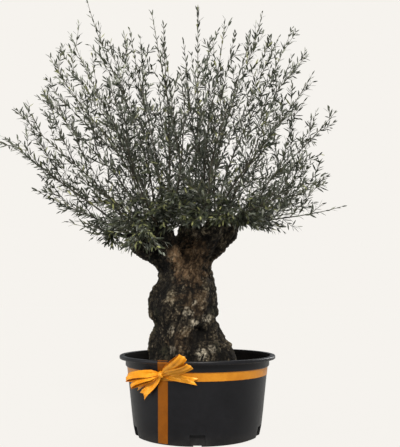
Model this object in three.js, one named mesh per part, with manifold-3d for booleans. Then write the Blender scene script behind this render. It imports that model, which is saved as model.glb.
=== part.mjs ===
// An old pollarded olive tree in a round nursery container that is tied with a wide ribbon and a bow.
// Millimetres, +Z up. The origin is the centre of the container's base, and the front looks along -Y.
import * as THREE from 'three';
import { mergeVertices } from 'three/addons/utils/BufferGeometryUtils.js';
import Module from 'manifold-3d';

const wasm = await Module();
wasm.setup();

// Gap between pieces that touch.
const CLEARANCE = 0.3;

// Container: a moulded tub with a rolled lip, a collar, five foot notches and a drained floor.
const POT = {
  height: 520,
  lipRadius: 522,
  lipBottom: 497,
  mouthRadius: 489,
  mouthBottom: 501,
  collarRadius: 481,
  collarBottom: 444,
  shoulderRadius: 469,
  middleRadius: 436,
  middleHeight: 154,
  lowRadius: 425,
  lowHeight: 69,
  baseRadius: 393,
  edgeRadius: 412,
  edgeHeight: 12,
  wall: 7.5,
  floorTop: 24,
  stepHeight: 450,
  segments: 30,
};
const NOTCH = { count: 5, width: 96, height: 76, backRadius: 392, frame: 9 };
const DRAIN = {
  channelWidth: 50, channelDepth: 8, channelStart: 120, holeRadius: 18, holeSides: 8, holeAt: 250,
};

// Soil: its height at the wall and at the trunk, and the size of its lumps.
const SOIL = { wallHeight: 424, moundHeight: 437, moundRadius: 345, lumps: 5 };

// Trunk: at each height, how far it reaches to the left, right, front and back.
const TRUNK_STATIONS = [
  { z: 445, left: -318, right: 282, front: -268, back: 242 },
  { z: 520, left: -322, right: 250, front: -258, back: 236 },
  { z: 597, left: -324, right: 208, front: -238, back: 222 },
  { z: 670, left: -298, right: 174, front: -220, back: 212 },
  { z: 734, left: -284, right: 135, front: -212, back: 208 },
  { z: 798, left: -320, right: 129, front: -220, back: 210 },
  { z: 857, left: -332, right: 133, front: -224, back: 212 },
  { z: 946, left: -308, right: 126, front: -210, back: 204 },
  { z: 1055, left: -266, right: 92, front: -184, back: 182 },
  { z: 1135, left: -258, right: 84, front: -176, back: 174 },
  { z: 1216, left: -226, right: 84, front: -148, back: 148 },
];
const TRUNK = { sides: 20, rows: 18, stumpBottom: 315 };
// Burls stand out and hollows go in: where they are round the trunk (degrees from +X), how high, and how far.
const TRUNK_RELIEF = [
  { turn: -62, z: 640, reach: -58, wide: 20, tall: 75 },
  { turn: -150, z: 955, reach: -34, wide: 13, tall: 130 },
  { turn: -125, z: 770, reach: 26, wide: 18, tall: 90 },
  { turn: -95, z: 875, reach: 20, wide: 16, tall: 60 },
  { turn: -78, z: 740, reach: 24, wide: 14, tall: 36 },
  { turn: -100, z: 535, reach: 26, wide: 14, tall: 60 },
  { turn: -130, z: 565, reach: -30, wide: 12, tall: 90 },
  { turn: -38, z: 535, reach: 24, wide: 16, tall: 70 },
  { turn: -88, z: 478, reach: -36, wide: 10, tall: 70 },
  { turn: 60, z: 810, reach: 26, wide: 20, tall: 80 },
  { turn: 115, z: 635, reach: -44, wide: 18, tall: 110 },
  { turn: 140, z: 870, reach: 18, wide: 18, tall: 80 },
];

// Limbs: sawn back to blunt, swollen heads. Each is a curve from inside the trunk, with its two radii.
const LIMBS = {
  left: {
    from: 104, to: 72, path: [[-120, -20, 1050], [-271, -30, 1191], [-392, -50, 1262], [-448, -60, 1335]],
  },
  right: {
    from: 106, to: 86, path: [[-50, 0, 1110], [62, -10, 1240], [168, -20, 1310], [236, -20, 1415]],
  },
  centre: {
    from: 108, to: 70, path: [[-80, 20, 1110], [-70, 50, 1256], [-45, 60, 1367], [-52, 66, 1460]],
  },
  backLeft: {
    from: 92, to: 68, path: [[-120, 50, 1075], [-186, 170, 1206], [-242, 260, 1310], [-266, 310, 1400]],
  },
  backRight: {
    from: 92, to: 66, path: [[-40, 60, 1090], [50, 160, 1226], [118, 240, 1330], [170, 284, 1420]],
  },
  frontLeft: {
    from: 88, to: 66, path: [[-120, -50, 1075], [-182, -150, 1196], [-230, -216, 1280], [-246, -262, 1366]],
  },
  frontRight: {
    from: 88, to: 62, path: [[-40, -50, 1090], [36, -150, 1226], [86, -222, 1316], [128, -258, 1400]],
  },
};
// A limb's sections, how far the waist takes it in, and how much its sawn end is rounded.
const LIMB = { sides: 8, steps: 5, waist: 0.1, endRounding: 0.72 };
// The live stub on a limb that a branch starts from: how far it stands out, its length and its two widths.
const STUB = { out: 36, length: 122, rootWidth: 1.5, endWidth: 1.1 };

// Leafy branches: the limb that each grows from, how far along it, and where its tip reaches.
const BRANCHES = [
  { limb: 'left', along: 0.94, tip: [-1365, 20, 2020] },
  { limb: 'left', along: 0.88, tip: [-1235, -150, 2175] },
  { limb: 'left', along: 0.81, tip: [-1135, 180, 2395] },
  { limb: 'left', along: 0.73, tip: [-1020, -130, 2550] },
  { limb: 'backLeft', along: 0.78, tip: [-965, 270, 2880] },
  { limb: 'left', along: 0.6, tip: [-790, -30, 3010] },
  { limb: 'frontLeft', along: 0.76, tip: [-460, -220, 2705] },
  { limb: 'centre', along: 0.95, tip: [-335, 100, 2970] },
  { limb: 'centre', along: 0.8, tip: [5, 0, 2950] },
  { limb: 'frontRight', along: 0.8, tip: [185, -220, 2780] },
  { limb: 'right', along: 0.74, tip: [465, 20, 2935] },
  { limb: 'backRight', along: 0.8, tip: [710, 220, 2910] },
  { limb: 'right', along: 0.84, tip: [780, -160, 2410] },
  { limb: 'right', along: 0.9, tip: [970, 30, 2200] },
  { limb: 'right', along: 0.97, tip: [945, 160, 1775] },
  { limb: 'right', along: 1.0, tip: [990, -40, 1520] },
  { limb: 'frontRight', along: 1.0, tip: [615, -200, 1450] },
  { limb: 'left', along: 0.97, tip: [-775, -190, 1400] },
  { limb: 'left', along: 1.0, tip: [-1160, 130, 1665] },
  { limb: 'frontLeft', along: 0.9, tip: [-525, -480, 1295] },
  { limb: 'frontLeft', along: 0.96, tip: [-535, -800, 2045] },
  { limb: 'frontLeft', along: 0.9, tip: [-60, -920, 2120] },
  { limb: 'frontRight', along: 0.92, tip: [495, -800, 1950] },
  { limb: 'frontLeft', along: 0.84, tip: [-210, -600, 2570] },
  { limb: 'frontRight', along: 0.87, tip: [325, -610, 2505] },
  { limb: 'frontLeft', along: 1.0, tip: [-755, -600, 1655] },
  { limb: 'frontRight', along: 0.98, tip: [650, -620, 1595] },
  { limb: 'frontRight', along: 0.92, tip: [40, -760, 1530] },
  { limb: 'backLeft', along: 0.93, tip: [-575, 800, 2085] },
  { limb: 'backRight', along: 0.9, tip: [60, 920, 2190] },
  { limb: 'backRight', along: 0.96, tip: [550, 800, 2035] },
  { limb: 'backLeft', along: 0.86, tip: [-280, 620, 2635] },
  { limb: 'backRight', along: 0.86, tip: [310, 600, 2615] },
  { limb: 'backLeft', along: 0.99, tip: [-770, 600, 1670] },
  { limb: 'backRight', along: 1.0, tip: [710, 600, 1620] },
];
// A main stem turns out of its limb and rises, then bends towards its tip.
const STEM = {
  baseRadius: 11, tipRadius: 2.6, nodeLength: 4,
  turnOut: 0.85, rise: 0.3, aim: 0.6, lift: 0.2, endLift: 0.12, firstReach: 0.36, lastReach: 0.34,
};
// Where a main stem's rings lie, as shares of its length: the bare ones, then those that bear leaves.
const BARE_RINGS = [0.12, 0.26];
const LEAF_RINGS = [0.42, 0.6, 0.78, 0.93];
// Side shoots: each try for one is a little shorter, and none starts from the underside of its stem.
const SHOOT = {
  rootRadius: 4.2, tipRadius: 2.2, shortest: 290, longest: 420, leafRings: [0.5, 0.9],
  angle: 0.66, spread: 0.3, lean: 0.5, rise: 0.14, tries: 6, shortening: 0.08, underside: -0.45,
};
// The crown that side shoots stay inside, from its left, front and bottom to its right, back and top.
const CROWN = new THREE.Box3(new THREE.Vector3(-1370, -960, 1230), new THREE.Vector3(1060, 960, 3000));
const LEAF = {
  length: 72, width: 15, widestAt: 0.42, keel: 2, droop: 3,
  angle: 0.82, spread: 0.36, lean: 0.3, tries: 4, clearFrom: 0.25,
};
// What may come near a stem is tested against capsules that are this much wider than it.
const STEM_MARGIN = 3;
const SHOOT_MARGIN = 6;

// Ribbon: satin, laid up the wall as a strip, round the wall as a band, and tied in a bow.
const RIBBON = { thickness: 1.6, width: 48, pinchWidth: 18 };
const STRIP = { centreX: -210, width: 62, tuckedTo: 478 };
const BAND = { bottom: 396, top: 440 };
// The bow's knot: where it sits round the container (degrees from the front), and how high. The wall
// slopes, so the knot is set in by sunk from where the band's top edge would let it rest.
const KNOT = { turn: -26.5, z: 426, length: 24, height: 27, depth: 24, wall: 4, sunk: 0.7 };
// A loop's end lies to the right of the knot along the wall, above it and out from it. The ribbon stands
// open by the bulge on the front, and by a share of it on the back.
const LOOP = { steps: 7, backBulge: 0.3, fullWidthAt: 0.45 };
const LOOPS = [
  { right: 172, up: 130, out: 100, bulge: 40 },
  { right: 232, up: 92, out: 66, bulge: 34 },
  { right: -240, up: -4, out: 12, bulge: 48 },
  { right: -220, up: -58, out: 4, bulge: 40 },
];
const TAIL = { steps: 4, away: 7, ripple: 3, fullWidthAt: 0.5 };
const TAILS = [
  { right: 234, up: -18, notch: 26 },
  { right: -126, up: -134, notch: 26 },
  { right: -172, up: -98, notch: 18 },
];

const COLOURS = {
  pot: { color: 0x26262a, roughness: 0.42 },
  soil: { color: 0x2b211a, roughness: 0.95 },
  bark: { color: 0x4a4036, roughness: 0.9 },
  foliage: { color: 0x5d6a4c, roughness: 0.65 },
  ribbon: { color: 0xd0801c, roughness: 0.38 },
};

const UP = new THREE.Vector3(0, 0, 1);
const vector = (list) => new THREE.Vector3(...list);
const radians = THREE.MathUtils.degToRad;

// Random numbers from 0 to 1 from a seed, the same in every run.
function randomFrom(seed) {
  let state = seed >>> 0;
  return () => {
    state = (state + 0x6d2b79f5) >>> 0;
    let mixed = Math.imul(state ^ (state >>> 15), 1 | state);
    mixed = (mixed + Math.imul(mixed ^ (mixed >>> 7), 61 | mixed)) ^ mixed;
    return ((mixed ^ (mixed >>> 14)) >>> 0) / 4294967296;
  };
}

// A closed geometry as a solid that can be joined and cut.
function solid(geometry) {
  const bare = geometry.clone();
  bare.deleteAttribute('normal');
  bare.deleteAttribute('uv');
  const merged = mergeVertices(bare, 1e-3);
  return new wasm.Manifold(new wasm.Mesh({
    numProp: 3,
    vertProperties: merged.attributes.position.array,
    triVerts: new Uint32Array(merged.index.array),
  }));
}

// A solid as a geometry with flat faces.
function geometryOf(shape) {
  const mesh = shape.getMesh();
  const geometry = new THREE.BufferGeometry();
  geometry.setAttribute('position', new THREE.BufferAttribute(new Float32Array(mesh.vertProperties), 3));
  geometry.setIndex([...mesh.triVerts]);
  return geometry;
}

// Solids joined in one body: hollows that the join seals are filled.
function joined(solids) {
  const bodies = solids.reduce((whole, one) => whole.add(one)).decompose();
  return bodies.reduce((largest, body) => (body.volume() > largest.volume() ? body : largest));
}

// A solid with each of the cutters taken out of it.
function cut(body, cutters) {
  return cutters.reduce((rest, cutter) => rest.subtract(cutter), body);
}

function meshOf(name, geometry, colour) {
  const flat = geometry.index ? geometry.toNonIndexed() : geometry;
  flat.computeVertexNormals();
  const mesh = new THREE.Mesh(flat, new THREE.MeshStandardMaterial({ ...colour, metalness: 0 }));
  mesh.name = name;
  return mesh;
}

// Container

// A profile of [radius, height] pairs turned round the Z axis, with its facets in step with the container's.
function turned(profile) {
  const points = profile.map(([radius, height]) => new THREE.Vector2(radius, height));
  return new THREE.LatheGeometry(points, POT.segments).rotateX(Math.PI / 2);
}

// The outside of the wall, from the base edge up to the lip.
function wallOutside() {
  return [
    [POT.edgeRadius, POT.edgeHeight],
    [POT.lowRadius, POT.lowHeight],
    [POT.middleRadius, POT.middleHeight],
    [POT.shoulderRadius, POT.collarBottom - 2],
    [POT.collarRadius, POT.collarBottom],
    [POT.collarRadius, POT.lipBottom],
  ];
}

// The inside of the wall up to the soil's height, moved inwards by the given amount.
function wallInside(inset) {
  return [
    [POT.edgeRadius - 10 - inset, POT.floorTop + inset],
    [POT.edgeRadius - inset, POT.floorTop + 16],
    [POT.middleRadius - POT.wall - inset, POT.middleHeight],
  ];
}

// The radius of the room inside, between the middle of the wall and the step at the collar.
function roomRadius(z) {
  const share = (z - POT.middleHeight) / (POT.stepHeight - POT.middleHeight);
  return THREE.MathUtils.lerp(POT.middleRadius, POT.shoulderRadius, share) - POT.wall;
}

function boxAt(size, centre) {
  return new THREE.BoxGeometry(...size).translate(...centre);
}

// The same geometry at even turns round the container, with the first at the front.
function copiesRound(geometry) {
  return Array.from({ length: NOTCH.count }, (_, index) => (
    solid(geometry.clone().rotateZ((index / NOTCH.count) * 2 * Math.PI - Math.PI / 2))
  ));
}

// The wall stands further in round each foot notch: this is what it takes from the room inside.
function notchPockets(growth) {
  const back = NOTCH.backRadius - NOTCH.frame - growth;
  const depth = POT.lowRadius + 20 - back;
  const width = NOTCH.width + 2 * (NOTCH.frame + growth);
  const top = NOTCH.height + NOTCH.frame + growth;
  return copiesRound(boxAt([depth, width, top], [back + depth / 2, 0, top / 2]));
}

function potGeometry() {
  const outside = [
    [0, 0], [POT.baseRadius, 0], ...wallOutside(),
    [POT.lipRadius - 6, POT.lipBottom], [POT.lipRadius, POT.lipBottom + 7],
    [POT.lipRadius, POT.height - 8], [POT.lipRadius - 8, POT.height], [0, POT.height],
  ];
  const room = [
    [0, POT.floorTop], ...wallInside(0),
    [roomRadius(POT.stepHeight), POT.stepHeight], [POT.collarRadius - POT.wall, POT.stepHeight + 8],
    [POT.collarRadius - POT.wall, POT.mouthBottom], [POT.mouthRadius, POT.height],
    [POT.mouthRadius, POT.height + 10], [0, POT.height + 10],
  ];
  const notchDepth = POT.lipRadius - NOTCH.backRadius;
  const notch = boxAt(
    [notchDepth, NOTCH.width, 2 * NOTCH.height],
    [NOTCH.backRadius + notchDepth / 2, 0, 0],
  );
  const channelLength = NOTCH.backRadius + 10 - DRAIN.channelStart;
  const channel = boxAt(
    [channelLength, DRAIN.channelWidth, 2 * DRAIN.channelDepth],
    [DRAIN.channelStart + channelLength / 2, 0, 0],
  );
  const { holeRadius, holeSides } = DRAIN;
  const hole = new THREE.CylinderGeometry(holeRadius, holeRadius, 3 * POT.floorTop, holeSides)
    .rotateX(Math.PI / 2).translate(DRAIN.holeAt, 0, 0);
  const hollow = cut(solid(turned(room)), notchPockets(0));
  const cuts = [notch, channel, hole].flatMap(copiesRound);
  return geometryOf(cut(solid(turned(outside)).subtract(hollow), cuts));
}

// Trunk

// Smooth runs of the trunk's four reaches, both at the same heights.
const sidesCurve = new THREE.CatmullRomCurve3(
  TRUNK_STATIONS.map(({ left, right, z }) => new THREE.Vector3(left, right, z)), false, 'catmullrom', 0.5,
);
const depthCurve = new THREE.CatmullRomCurve3(
  TRUNK_STATIONS.map(({ front, back, z }) => new THREE.Vector3(front, back, z)), false, 'catmullrom', 0.5,
);

// How far the bark stands out of the smooth section at an angle and a height: flutes, burls and hollows.
function barkRelief(angle, z) {
  const flutes = 9 * Math.cos(5 * angle + z / 190) + 7 * Math.cos(8 * angle - z / 140);
  return TRUNK_RELIEF.reduce((sum, { turn, z: height, reach, wide, tall }) => {
    const away = THREE.MathUtils.euclideanModulo(angle - radians(turn) + Math.PI, 2 * Math.PI) - Math.PI;
    return sum + reach * Math.exp(-((away / radians(wide)) ** 2) - ((z - height) / tall) ** 2);
  }, flutes);
}

// A point of the trunk's surface. Share is 0 at the soil and 1 at the top; reach 0 is the section's centre.
function trunkPoint(share, angle, reach = 1) {
  const sides = sidesCurve.getPoint(share);
  const depth = depthCurve.getPoint(share);
  const out = reach * (1 + barkRelief(angle, sides.z) / 230);
  return new THREE.Vector3(
    (sides.x + sides.y) / 2 + (out * Math.cos(angle) * (sides.y - sides.x)) / 2,
    (depth.x + depth.y) / 2 + (out * Math.sin(angle) * (depth.y - depth.x)) / 2,
    sides.z,
  );
}

// A cylinder whose every vertex is moved by a function of its share of the height, its angle and its reach.
function shapedCylinder(sides, rows, place) {
  const geometry = new THREE.CylinderGeometry(1, 1, 1, sides, rows).rotateX(Math.PI / 2);
  const position = geometry.attributes.position;
  for (let i = 0; i < position.count; i += 1) {
    const [x, y, z] = [position.getX(i), position.getY(i), position.getZ(i)];
    const moved = place(z + 0.5, Math.atan2(y, x), Math.min(1, Math.hypot(x, y)));
    position.setXYZ(i, moved.x, moved.y, moved.z);
  }
  return geometry;
}

// The trunk with its straight stump below the soil, whose section is that at the soil.
function trunkBody() {
  const stumpShare = 1 / TRUNK.rows;
  return shapedCylinder(TRUNK.sides, TRUNK.rows, (share, angle, reach) => {
    const above = Math.max(0, (share - stumpShare) / (1 - stumpShare));
    const point = trunkPoint(above, angle, reach);
    if (share < stumpShare / 2) point.z = TRUNK.stumpBottom;
    return point;
  });
}

// The plain hole in the soil that the stump stands in.
function stumpHole() {
  const bottom = TRUNK.stumpBottom - CLEARANCE;
  const top = POT.height;
  return shapedCylinder(TRUNK.sides, 1, (share, angle, reach) => {
    const point = trunkPoint(0, angle, reach);
    const out = reach * 2 * CLEARANCE;
    const height = share > 0.5 ? top : bottom;
    return point.set(point.x + out * Math.cos(angle), point.y + out * Math.sin(angle), height);
  });
}

const limbCurves = Object.fromEntries(
  Object.entries(LIMBS).map(([name, { path }]) => [name, new THREE.CatmullRomCurve3(path.map(vector))]),
);

// A limb narrows from the trunk, then swells to its head.
function limbRadius({ from, to }, share) {
  const waist = LIMB.waist * Math.sin(Math.PI * Math.min(1, share / 0.8));
  return THREE.MathUtils.lerp(from, to, share) * (1 - waist);
}

function limbBody(name) {
  const limb = LIMBS[name];
  const curve = limbCurves[name];
  const { normals, binormals } = curve.computeFrenetFrames(LIMB.steps);
  return shapedCylinder(LIMB.sides, LIMB.steps, (share, angle, reach) => {
    const step = Math.round(share * LIMB.steps);
    const knobs = 1 + 0.09 * Math.cos(3 * angle + 5 * share) + 0.06 * Math.cos(2 * angle - 9 * share);
    const rounding = step === LIMB.steps ? LIMB.endRounding : 1;
    const radius = reach * knobs * rounding * limbRadius(limb, share);
    return curve.getPointAt(share)
      .addScaledVector(normals[step], radius * Math.cos(angle))
      .addScaledVector(binormals[step], radius * Math.sin(angle));
  });
}

function trunkGeometry(stems) {
  const limbs = Object.keys(LIMBS).map((name) => solid(limbBody(name)));
  const stubs = stems.map((stem) => solid(stubBody(stem)));
  return geometryOf(joined([solid(trunkBody()), ...limbs, ...stubs]));
}

// Soil

function soilGeometry() {
  const profile = [
    [0, POT.floorTop + CLEARANCE], ...wallInside(CLEARANCE),
    [roomRadius(SOIL.wallHeight - SOIL.lumps) - CLEARANCE, SOIL.wallHeight],
    [SOIL.moundRadius + 60, SOIL.wallHeight], [SOIL.moundRadius, SOIL.moundHeight], [0, SOIL.moundHeight],
  ];
  const body = turned(profile);
  const position = body.attributes.position;
  for (let i = 0; i < position.count; i += 1) {
    const [x, y, z] = [position.getX(i), position.getY(i), position.getZ(i)];
    const lump = SOIL.lumps * (Math.sin(x / 31 + y / 47) + Math.cos(y / 26 - x / 58)) / 2;
    if (z >= SOIL.wallHeight) position.setZ(i, z + lump);
  }
  return geometryOf(cut(solid(body), [...notchPockets(CLEARANCE), solid(stumpHole())]));
}

// Leafy branches

// A stem is a curve with a radius at each end, and a list of rings, each at a share of its length.
// Its section is square: across is one side's direction at its start.
class Stem {
  constructor(curve, radii, across, ringShares) {
    this.curve = curve;
    this.radii = radii;
    this.length = curve.getLength();
    let side = across.clone();
    this.rings = ringShares.map(({ share, leafy }) => {
      const half = leafy ? STEM.nodeLength / 2 / this.length : 0;
      const places = leafy ? [share - half, share + half] : [share];
      const levels = places.map((place) => {
        const along = curve.getTangentAt(place);
        side = side.clone().addScaledVector(along, -side.dot(along)).normalize();
        return { centre: curve.getPointAt(place), along, across: side, radius: this.radiusAt(place) };
      });
      return { leafy, levels, shoots: {}, leaves: {} };
    });
  }

  radiusAt(share) {
    return THREE.MathUtils.lerp(this.radii[0], this.radii[1], share ** 0.7);
  }
}

// The outward direction of a side of a stem's ring: side 0 faces away from the ring's own up.
function sideDirection({ along, across }, side) {
  const above = along.clone().cross(across);
  return [above.clone().negate(), across.clone(), above, across.clone().negate()][side];
}

function mainStem({ limb, along, tip }) {
  const root = limbCurves[limb].getPointAt(along);
  const limbWay = limbCurves[limb].getTangentAt(along);
  const end = vector(tip);
  const aim = end.clone().sub(root).normalize();
  const side = aim.clone().addScaledVector(limbWay, -STEM.turnOut * aim.dot(limbWay))
    .addScaledVector(UP, STEM.rise).normalize();
  const first = side.clone().addScaledVector(aim, STEM.aim).addScaledVector(UP, STEM.lift).normalize();
  const last = aim.clone().addScaledVector(UP, STEM.endLift).normalize();
  const start = root.clone().addScaledVector(side, limbRadius(LIMBS[limb], along) + STUB.out);
  const span = end.distanceTo(start);
  const curve = new THREE.CubicBezierCurve3(
    start,
    start.clone().addScaledVector(first, STEM.firstReach * span),
    end.clone().addScaledVector(last, -STEM.lastReach * span),
    end,
  );
  const across = first.clone().cross(UP).normalize();
  const rings = [
    { share: 0, leafy: false },
    ...BARE_RINGS.map((share) => ({ share, leafy: false })),
    ...LEAF_RINGS.map((share) => ({ share, leafy: true })),
  ];
  return new Stem(curve, [STEM.baseRadius, STEM.tipRadius], across, rings);
}

// The short live stub that a branch starts from: it ends square to the branch, a clearance short of it.
function stubBody(stem) {
  const [{ centre, along, across }] = stem.rings[0].levels;
  const above = along.clone().cross(across);
  return shapedCylinder(4, 1, (share, angle, reach) => {
    const radius = reach * STEM.baseRadius * THREE.MathUtils.lerp(STUB.rootWidth, STUB.endWidth, share);
    return centre.clone()
      .addScaledVector(along, -CLEARANCE - (1 - share) * STUB.length)
      .addScaledVector(across, radius * Math.cos(angle + Math.PI / 4))
      .addScaledVector(above, radius * Math.sin(angle + Math.PI / 4));
  });
}

// What is already placed, as capsules: what may come near is tested against them.
const placed = [];

// The shortest distance between the segment from p1 to q1 and the segment from p2 to q2.
function segmentDistance(p1, q1, p2, q2) {
  const d1 = q1.clone().sub(p1);
  const d2 = q2.clone().sub(p2);
  const r = p1.clone().sub(p2);
  const [a, e, f] = [d1.dot(d1), d2.dot(d2), d2.dot(r)];
  const [b, c] = [d1.dot(d2), d1.dot(r)];
  const clamp = (value) => THREE.MathUtils.clamp(value, 0, 1);
  const spread = a * e - b * b;
  let s = spread > 1e-9 ? clamp((b * f - c * e) / spread) : 0;
  let t = (b * s + f) / e;
  if (t < 0 || t > 1) {
    t = clamp(t);
    s = clamp((b * t - c) / a);
  }
  return p1.clone().addScaledVector(d1, s).distanceTo(p2.clone().addScaledVector(d2, t));
}

// True if a capsule keeps clear of all that is placed, apart from the stem that it belongs to.
function isClear(from, to, radius, owner) {
  return placed.every((other) => other.owner === owner
    || segmentDistance(from, to, other.from, other.to) > radius + other.radius);
}

function place(from, to, radius, owner) {
  placed.push({ from, to, radius, owner });
}

function stemCapsules(stem) {
  const shares = [0, 0.14, 0.28, 0.42, 0.56, 0.7, 0.85, 1];
  return shares.slice(1).map((share, i) => ({
    from: stem.curve.getPointAt(shares[i]),
    to: stem.curve.getPointAt(share),
    radius: stem.radiusAt(shares[i]) + STEM_MARGIN,
  }));
}

// A side shoot on one side of a ring, or null where each try crosses something or leaves the crown.
function sideShoot(ring, side, random) {
  const [lower, upper] = ring.levels;
  const out = sideDirection(lower, side);
  if (out.z < SHOOT.underside) return null;
  const root = lower.centre.clone().add(upper.centre).multiplyScalar(0.5)
    .addScaledVector(out, lower.radius * Math.SQRT1_2);
  for (let attempt = 0; attempt < SHOOT.tries; attempt += 1) {
    const shortened = 1 - SHOOT.shortening * attempt;
    const length = THREE.MathUtils.lerp(SHOOT.shortest, SHOOT.longest, random()) * shortened;
    const angle = SHOOT.angle + (random() - 0.5) * SHOOT.spread;
    const lean = sideDirection(lower, (side + 1) % 4).multiplyScalar((random() - 0.5) * SHOOT.lean);
    const aim = lower.along.clone().multiplyScalar(Math.cos(angle)).addScaledVector(out, Math.sin(angle))
      .add(lean).normalize();
    const end = root.clone().addScaledVector(aim, length).addScaledVector(UP, SHOOT.rise * length);
    const curve = new THREE.QuadraticBezierCurve3(root, root.clone().addScaledVector(aim, length * 0.5), end);
    const across = lower.along.clone().cross(out);
    const rings = SHOOT.leafRings.map((share) => ({ share, leafy: true }));
    const shoot = new Stem(curve, [SHOOT.rootRadius, SHOOT.tipRadius], across, rings);
    const clear = stemCapsules(shoot).slice(1)
      .every(({ from, to, radius }) => isClear(from, to, radius + SHOOT_MARGIN, shoot));
    if (clear && CROWN.containsPoint(end)) return shoot;
  }
  return null;
}

// A leaf on one side of a ring: its foot, the way it points and its length.
function leafOn(ring, side, random) {
  const [lower, upper] = ring.levels;
  const out = sideDirection(lower, side);
  const angle = LEAF.angle + (random() - 0.5) * LEAF.spread;
  const across = sideDirection(lower, (side + 1) % 4);
  const aim = lower.along.clone().multiplyScalar(Math.cos(angle)).addScaledVector(out, Math.sin(angle))
    .addScaledVector(across, (random() - 0.5) * LEAF.lean).normalize();
  const foot = lower.centre.clone().add(upper.centre).multiplyScalar(0.5)
    .addScaledVector(out, lower.radius * Math.SQRT1_2);
  return { foot, aim, length: LEAF.length * (0.88 + 0.24 * random()) };
}

// A leaf that comes near nothing that is placed, or null where no try finds one.
function clearLeaf(stem, ring, side, random) {
  for (let attempt = 0; attempt < LEAF.tries; attempt += 1) {
    const leaf = leafOn(ring, side, random);
    const nearFoot = leaf.foot.clone().addScaledVector(leaf.aim, leaf.length * LEAF.clearFrom);
    const tip = leaf.foot.clone().addScaledVector(leaf.aim, leaf.length);
    if (isClear(nearFoot, tip, LEAF.width / 2, stem)) {
      place(nearFoot, tip, LEAF.width / 2, stem);
      return leaf;
    }
  }
  return null;
}

function planLeaves(stem, random) {
  stem.rings.filter(({ leafy }) => leafy).forEach((ring) => {
    [0, 1, 2, 3].filter((side) => !ring.shoots[side]).forEach((side) => {
      ring.leaves[side] = clearLeaf(stem, ring, side, random);
    });
  });
}

// A closed surface that grows face by face.
class Surface {
  constructor() {
    this.points = [];
    this.faces = [];
  }

  // Adds a corner and gives its number.
  point(position) {
    this.points.push(position);
    return this.points.length - 1;
  }

  // Four corners round a stem, counter-clockwise as seen from its tip.
  ring({ centre, along, across, radius }) {
    const above = along.clone().cross(across);
    const half = radius * Math.SQRT1_2;
    return [[-1, -1], [1, -1], [1, 1], [-1, 1]].map(([x, y]) => this.point(
      centre.clone().addScaledVector(across, x * half).addScaledVector(above, y * half),
    ));
  }

  // A flat face with four corners.
  quad([a, b, c, d]) {
    this.faces.push([a, b, c], [a, c, d]);
  }

  // A leaf drawn out of a face: its keel runs from the foot to the tip, and its blade is widest between them.
  leaf([a, b, c, d], { aim, length }, along) {
    const foot = this.points[a].clone().add(this.points[b]).multiplyScalar(0.5);
    const across = this.points[b].clone().sub(this.points[a]).normalize();
    const upperSide = along.clone().addScaledVector(aim, -along.dot(aim)).normalize();
    const tip = this.point(foot.clone().addScaledVector(aim, length).addScaledVector(upperSide, -LEAF.droop));
    const [left, right] = [-0.5, 0.5].map((share) => this.point(
      foot.clone().addScaledVector(aim, length * LEAF.widestAt).addScaledVector(upperSide, LEAF.keel)
        .addScaledVector(across, share * LEAF.width),
    ));
    this.faces.push([a, b, tip], [b, right, tip], [a, tip, left]);
    this.faces.push([d, a, left], [b, c, right], [c, d, right], [right, d, left], [left, tip, right]);
  }

  // A stem from the four points of its base up to its tip, with all that it bears.
  stem(stem, base) {
    let below = base;
    stem.rings.forEach((ring) => {
      const [lower, upper] = ring.levels.map((level) => this.ring(level));
      if (below) [0, 1, 2, 3].forEach((side) => this.quad(this.side(below, lower, side)));
      else this.quad([...lower].reverse());
      if (upper) [0, 1, 2, 3].forEach((side) => this.bearing(ring, side, this.side(lower, upper, side)));
      below = upper ?? lower;
    });
    const tip = this.point(stem.curve.getPointAt(1));
    [0, 1, 2, 3].forEach((side) => this.faces.push([below[side], below[(side + 1) % 4], tip]));
  }

  // The four corners of one side between two rings.
  side(lower, upper, side) {
    const next = (side + 1) % 4;
    return [lower[side], lower[next], upper[next], upper[side]];
  }

  // What one side of a ring bears: a shoot, a leaf or nothing.
  bearing(ring, side, face) {
    if (ring.shoots[side]) this.stem(ring.shoots[side], face);
    else if (ring.leaves[side]) this.leaf(face, ring.leaves[side], ring.levels[0].along);
    else this.quad(face);
  }

  geometry() {
    const geometry = new THREE.BufferGeometry().setFromPoints(this.points);
    geometry.setIndex(this.faces.flat());
    return geometry;
  }
}

function placeStem(stem) {
  stemCapsules(stem).forEach(({ from, to, radius }) => place(from, to, radius, stem));
}

// A limb counts as one capsule up to its middle, and a slightly wider one round its head.
function placeLimb(name) {
  const curve = limbCurves[name];
  place(curve.getPointAt(0), curve.getPointAt(0.55), LIMBS[name].from, name);
  place(curve.getPointAt(0.55), curve.getPointAt(1), LIMBS[name].to * 1.2, name);
}

// Grows one side shoot from a ring, on the first of its sides from the given one where a shoot finds room.
function growShoot(ring, firstSide, random) {
  for (let turn = 0; turn < 4; turn += 1) {
    const side = (firstSide + turn) % 4;
    const shoot = sideShoot(ring, side, random);
    if (shoot) {
      ring.shoots[side] = shoot;
      placeStem(shoot);
      return [shoot];
    }
  }
  return [];
}

// All main stems with their shoots and leaves. Each has a seed of its own, so that one can change alone.
function plantBranches() {
  const main = BRANCHES.map(mainStem);
  const randoms = main.map((_, index) => randomFrom(1000 + index));
  main.forEach(placeStem);
  Object.keys(limbCurves).forEach(placeLimb);
  const shoots = main.map((stem, index) => {
    const [first, second] = stem.rings.filter(({ leafy }) => leafy);
    return [
      ...growShoot(first, index, randoms[index]),
      ...growShoot(second, index + 2, randoms[index]),
    ];
  });
  main.forEach((stem, index) => {
    [stem, ...shoots[index]].forEach((one) => planLeaves(one, randoms[index]));
  });
  return main;
}

function branchGeometry(stem) {
  const surface = new Surface();
  surface.stem(stem, null);
  return surface.geometry();
}

// Ribbon

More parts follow.
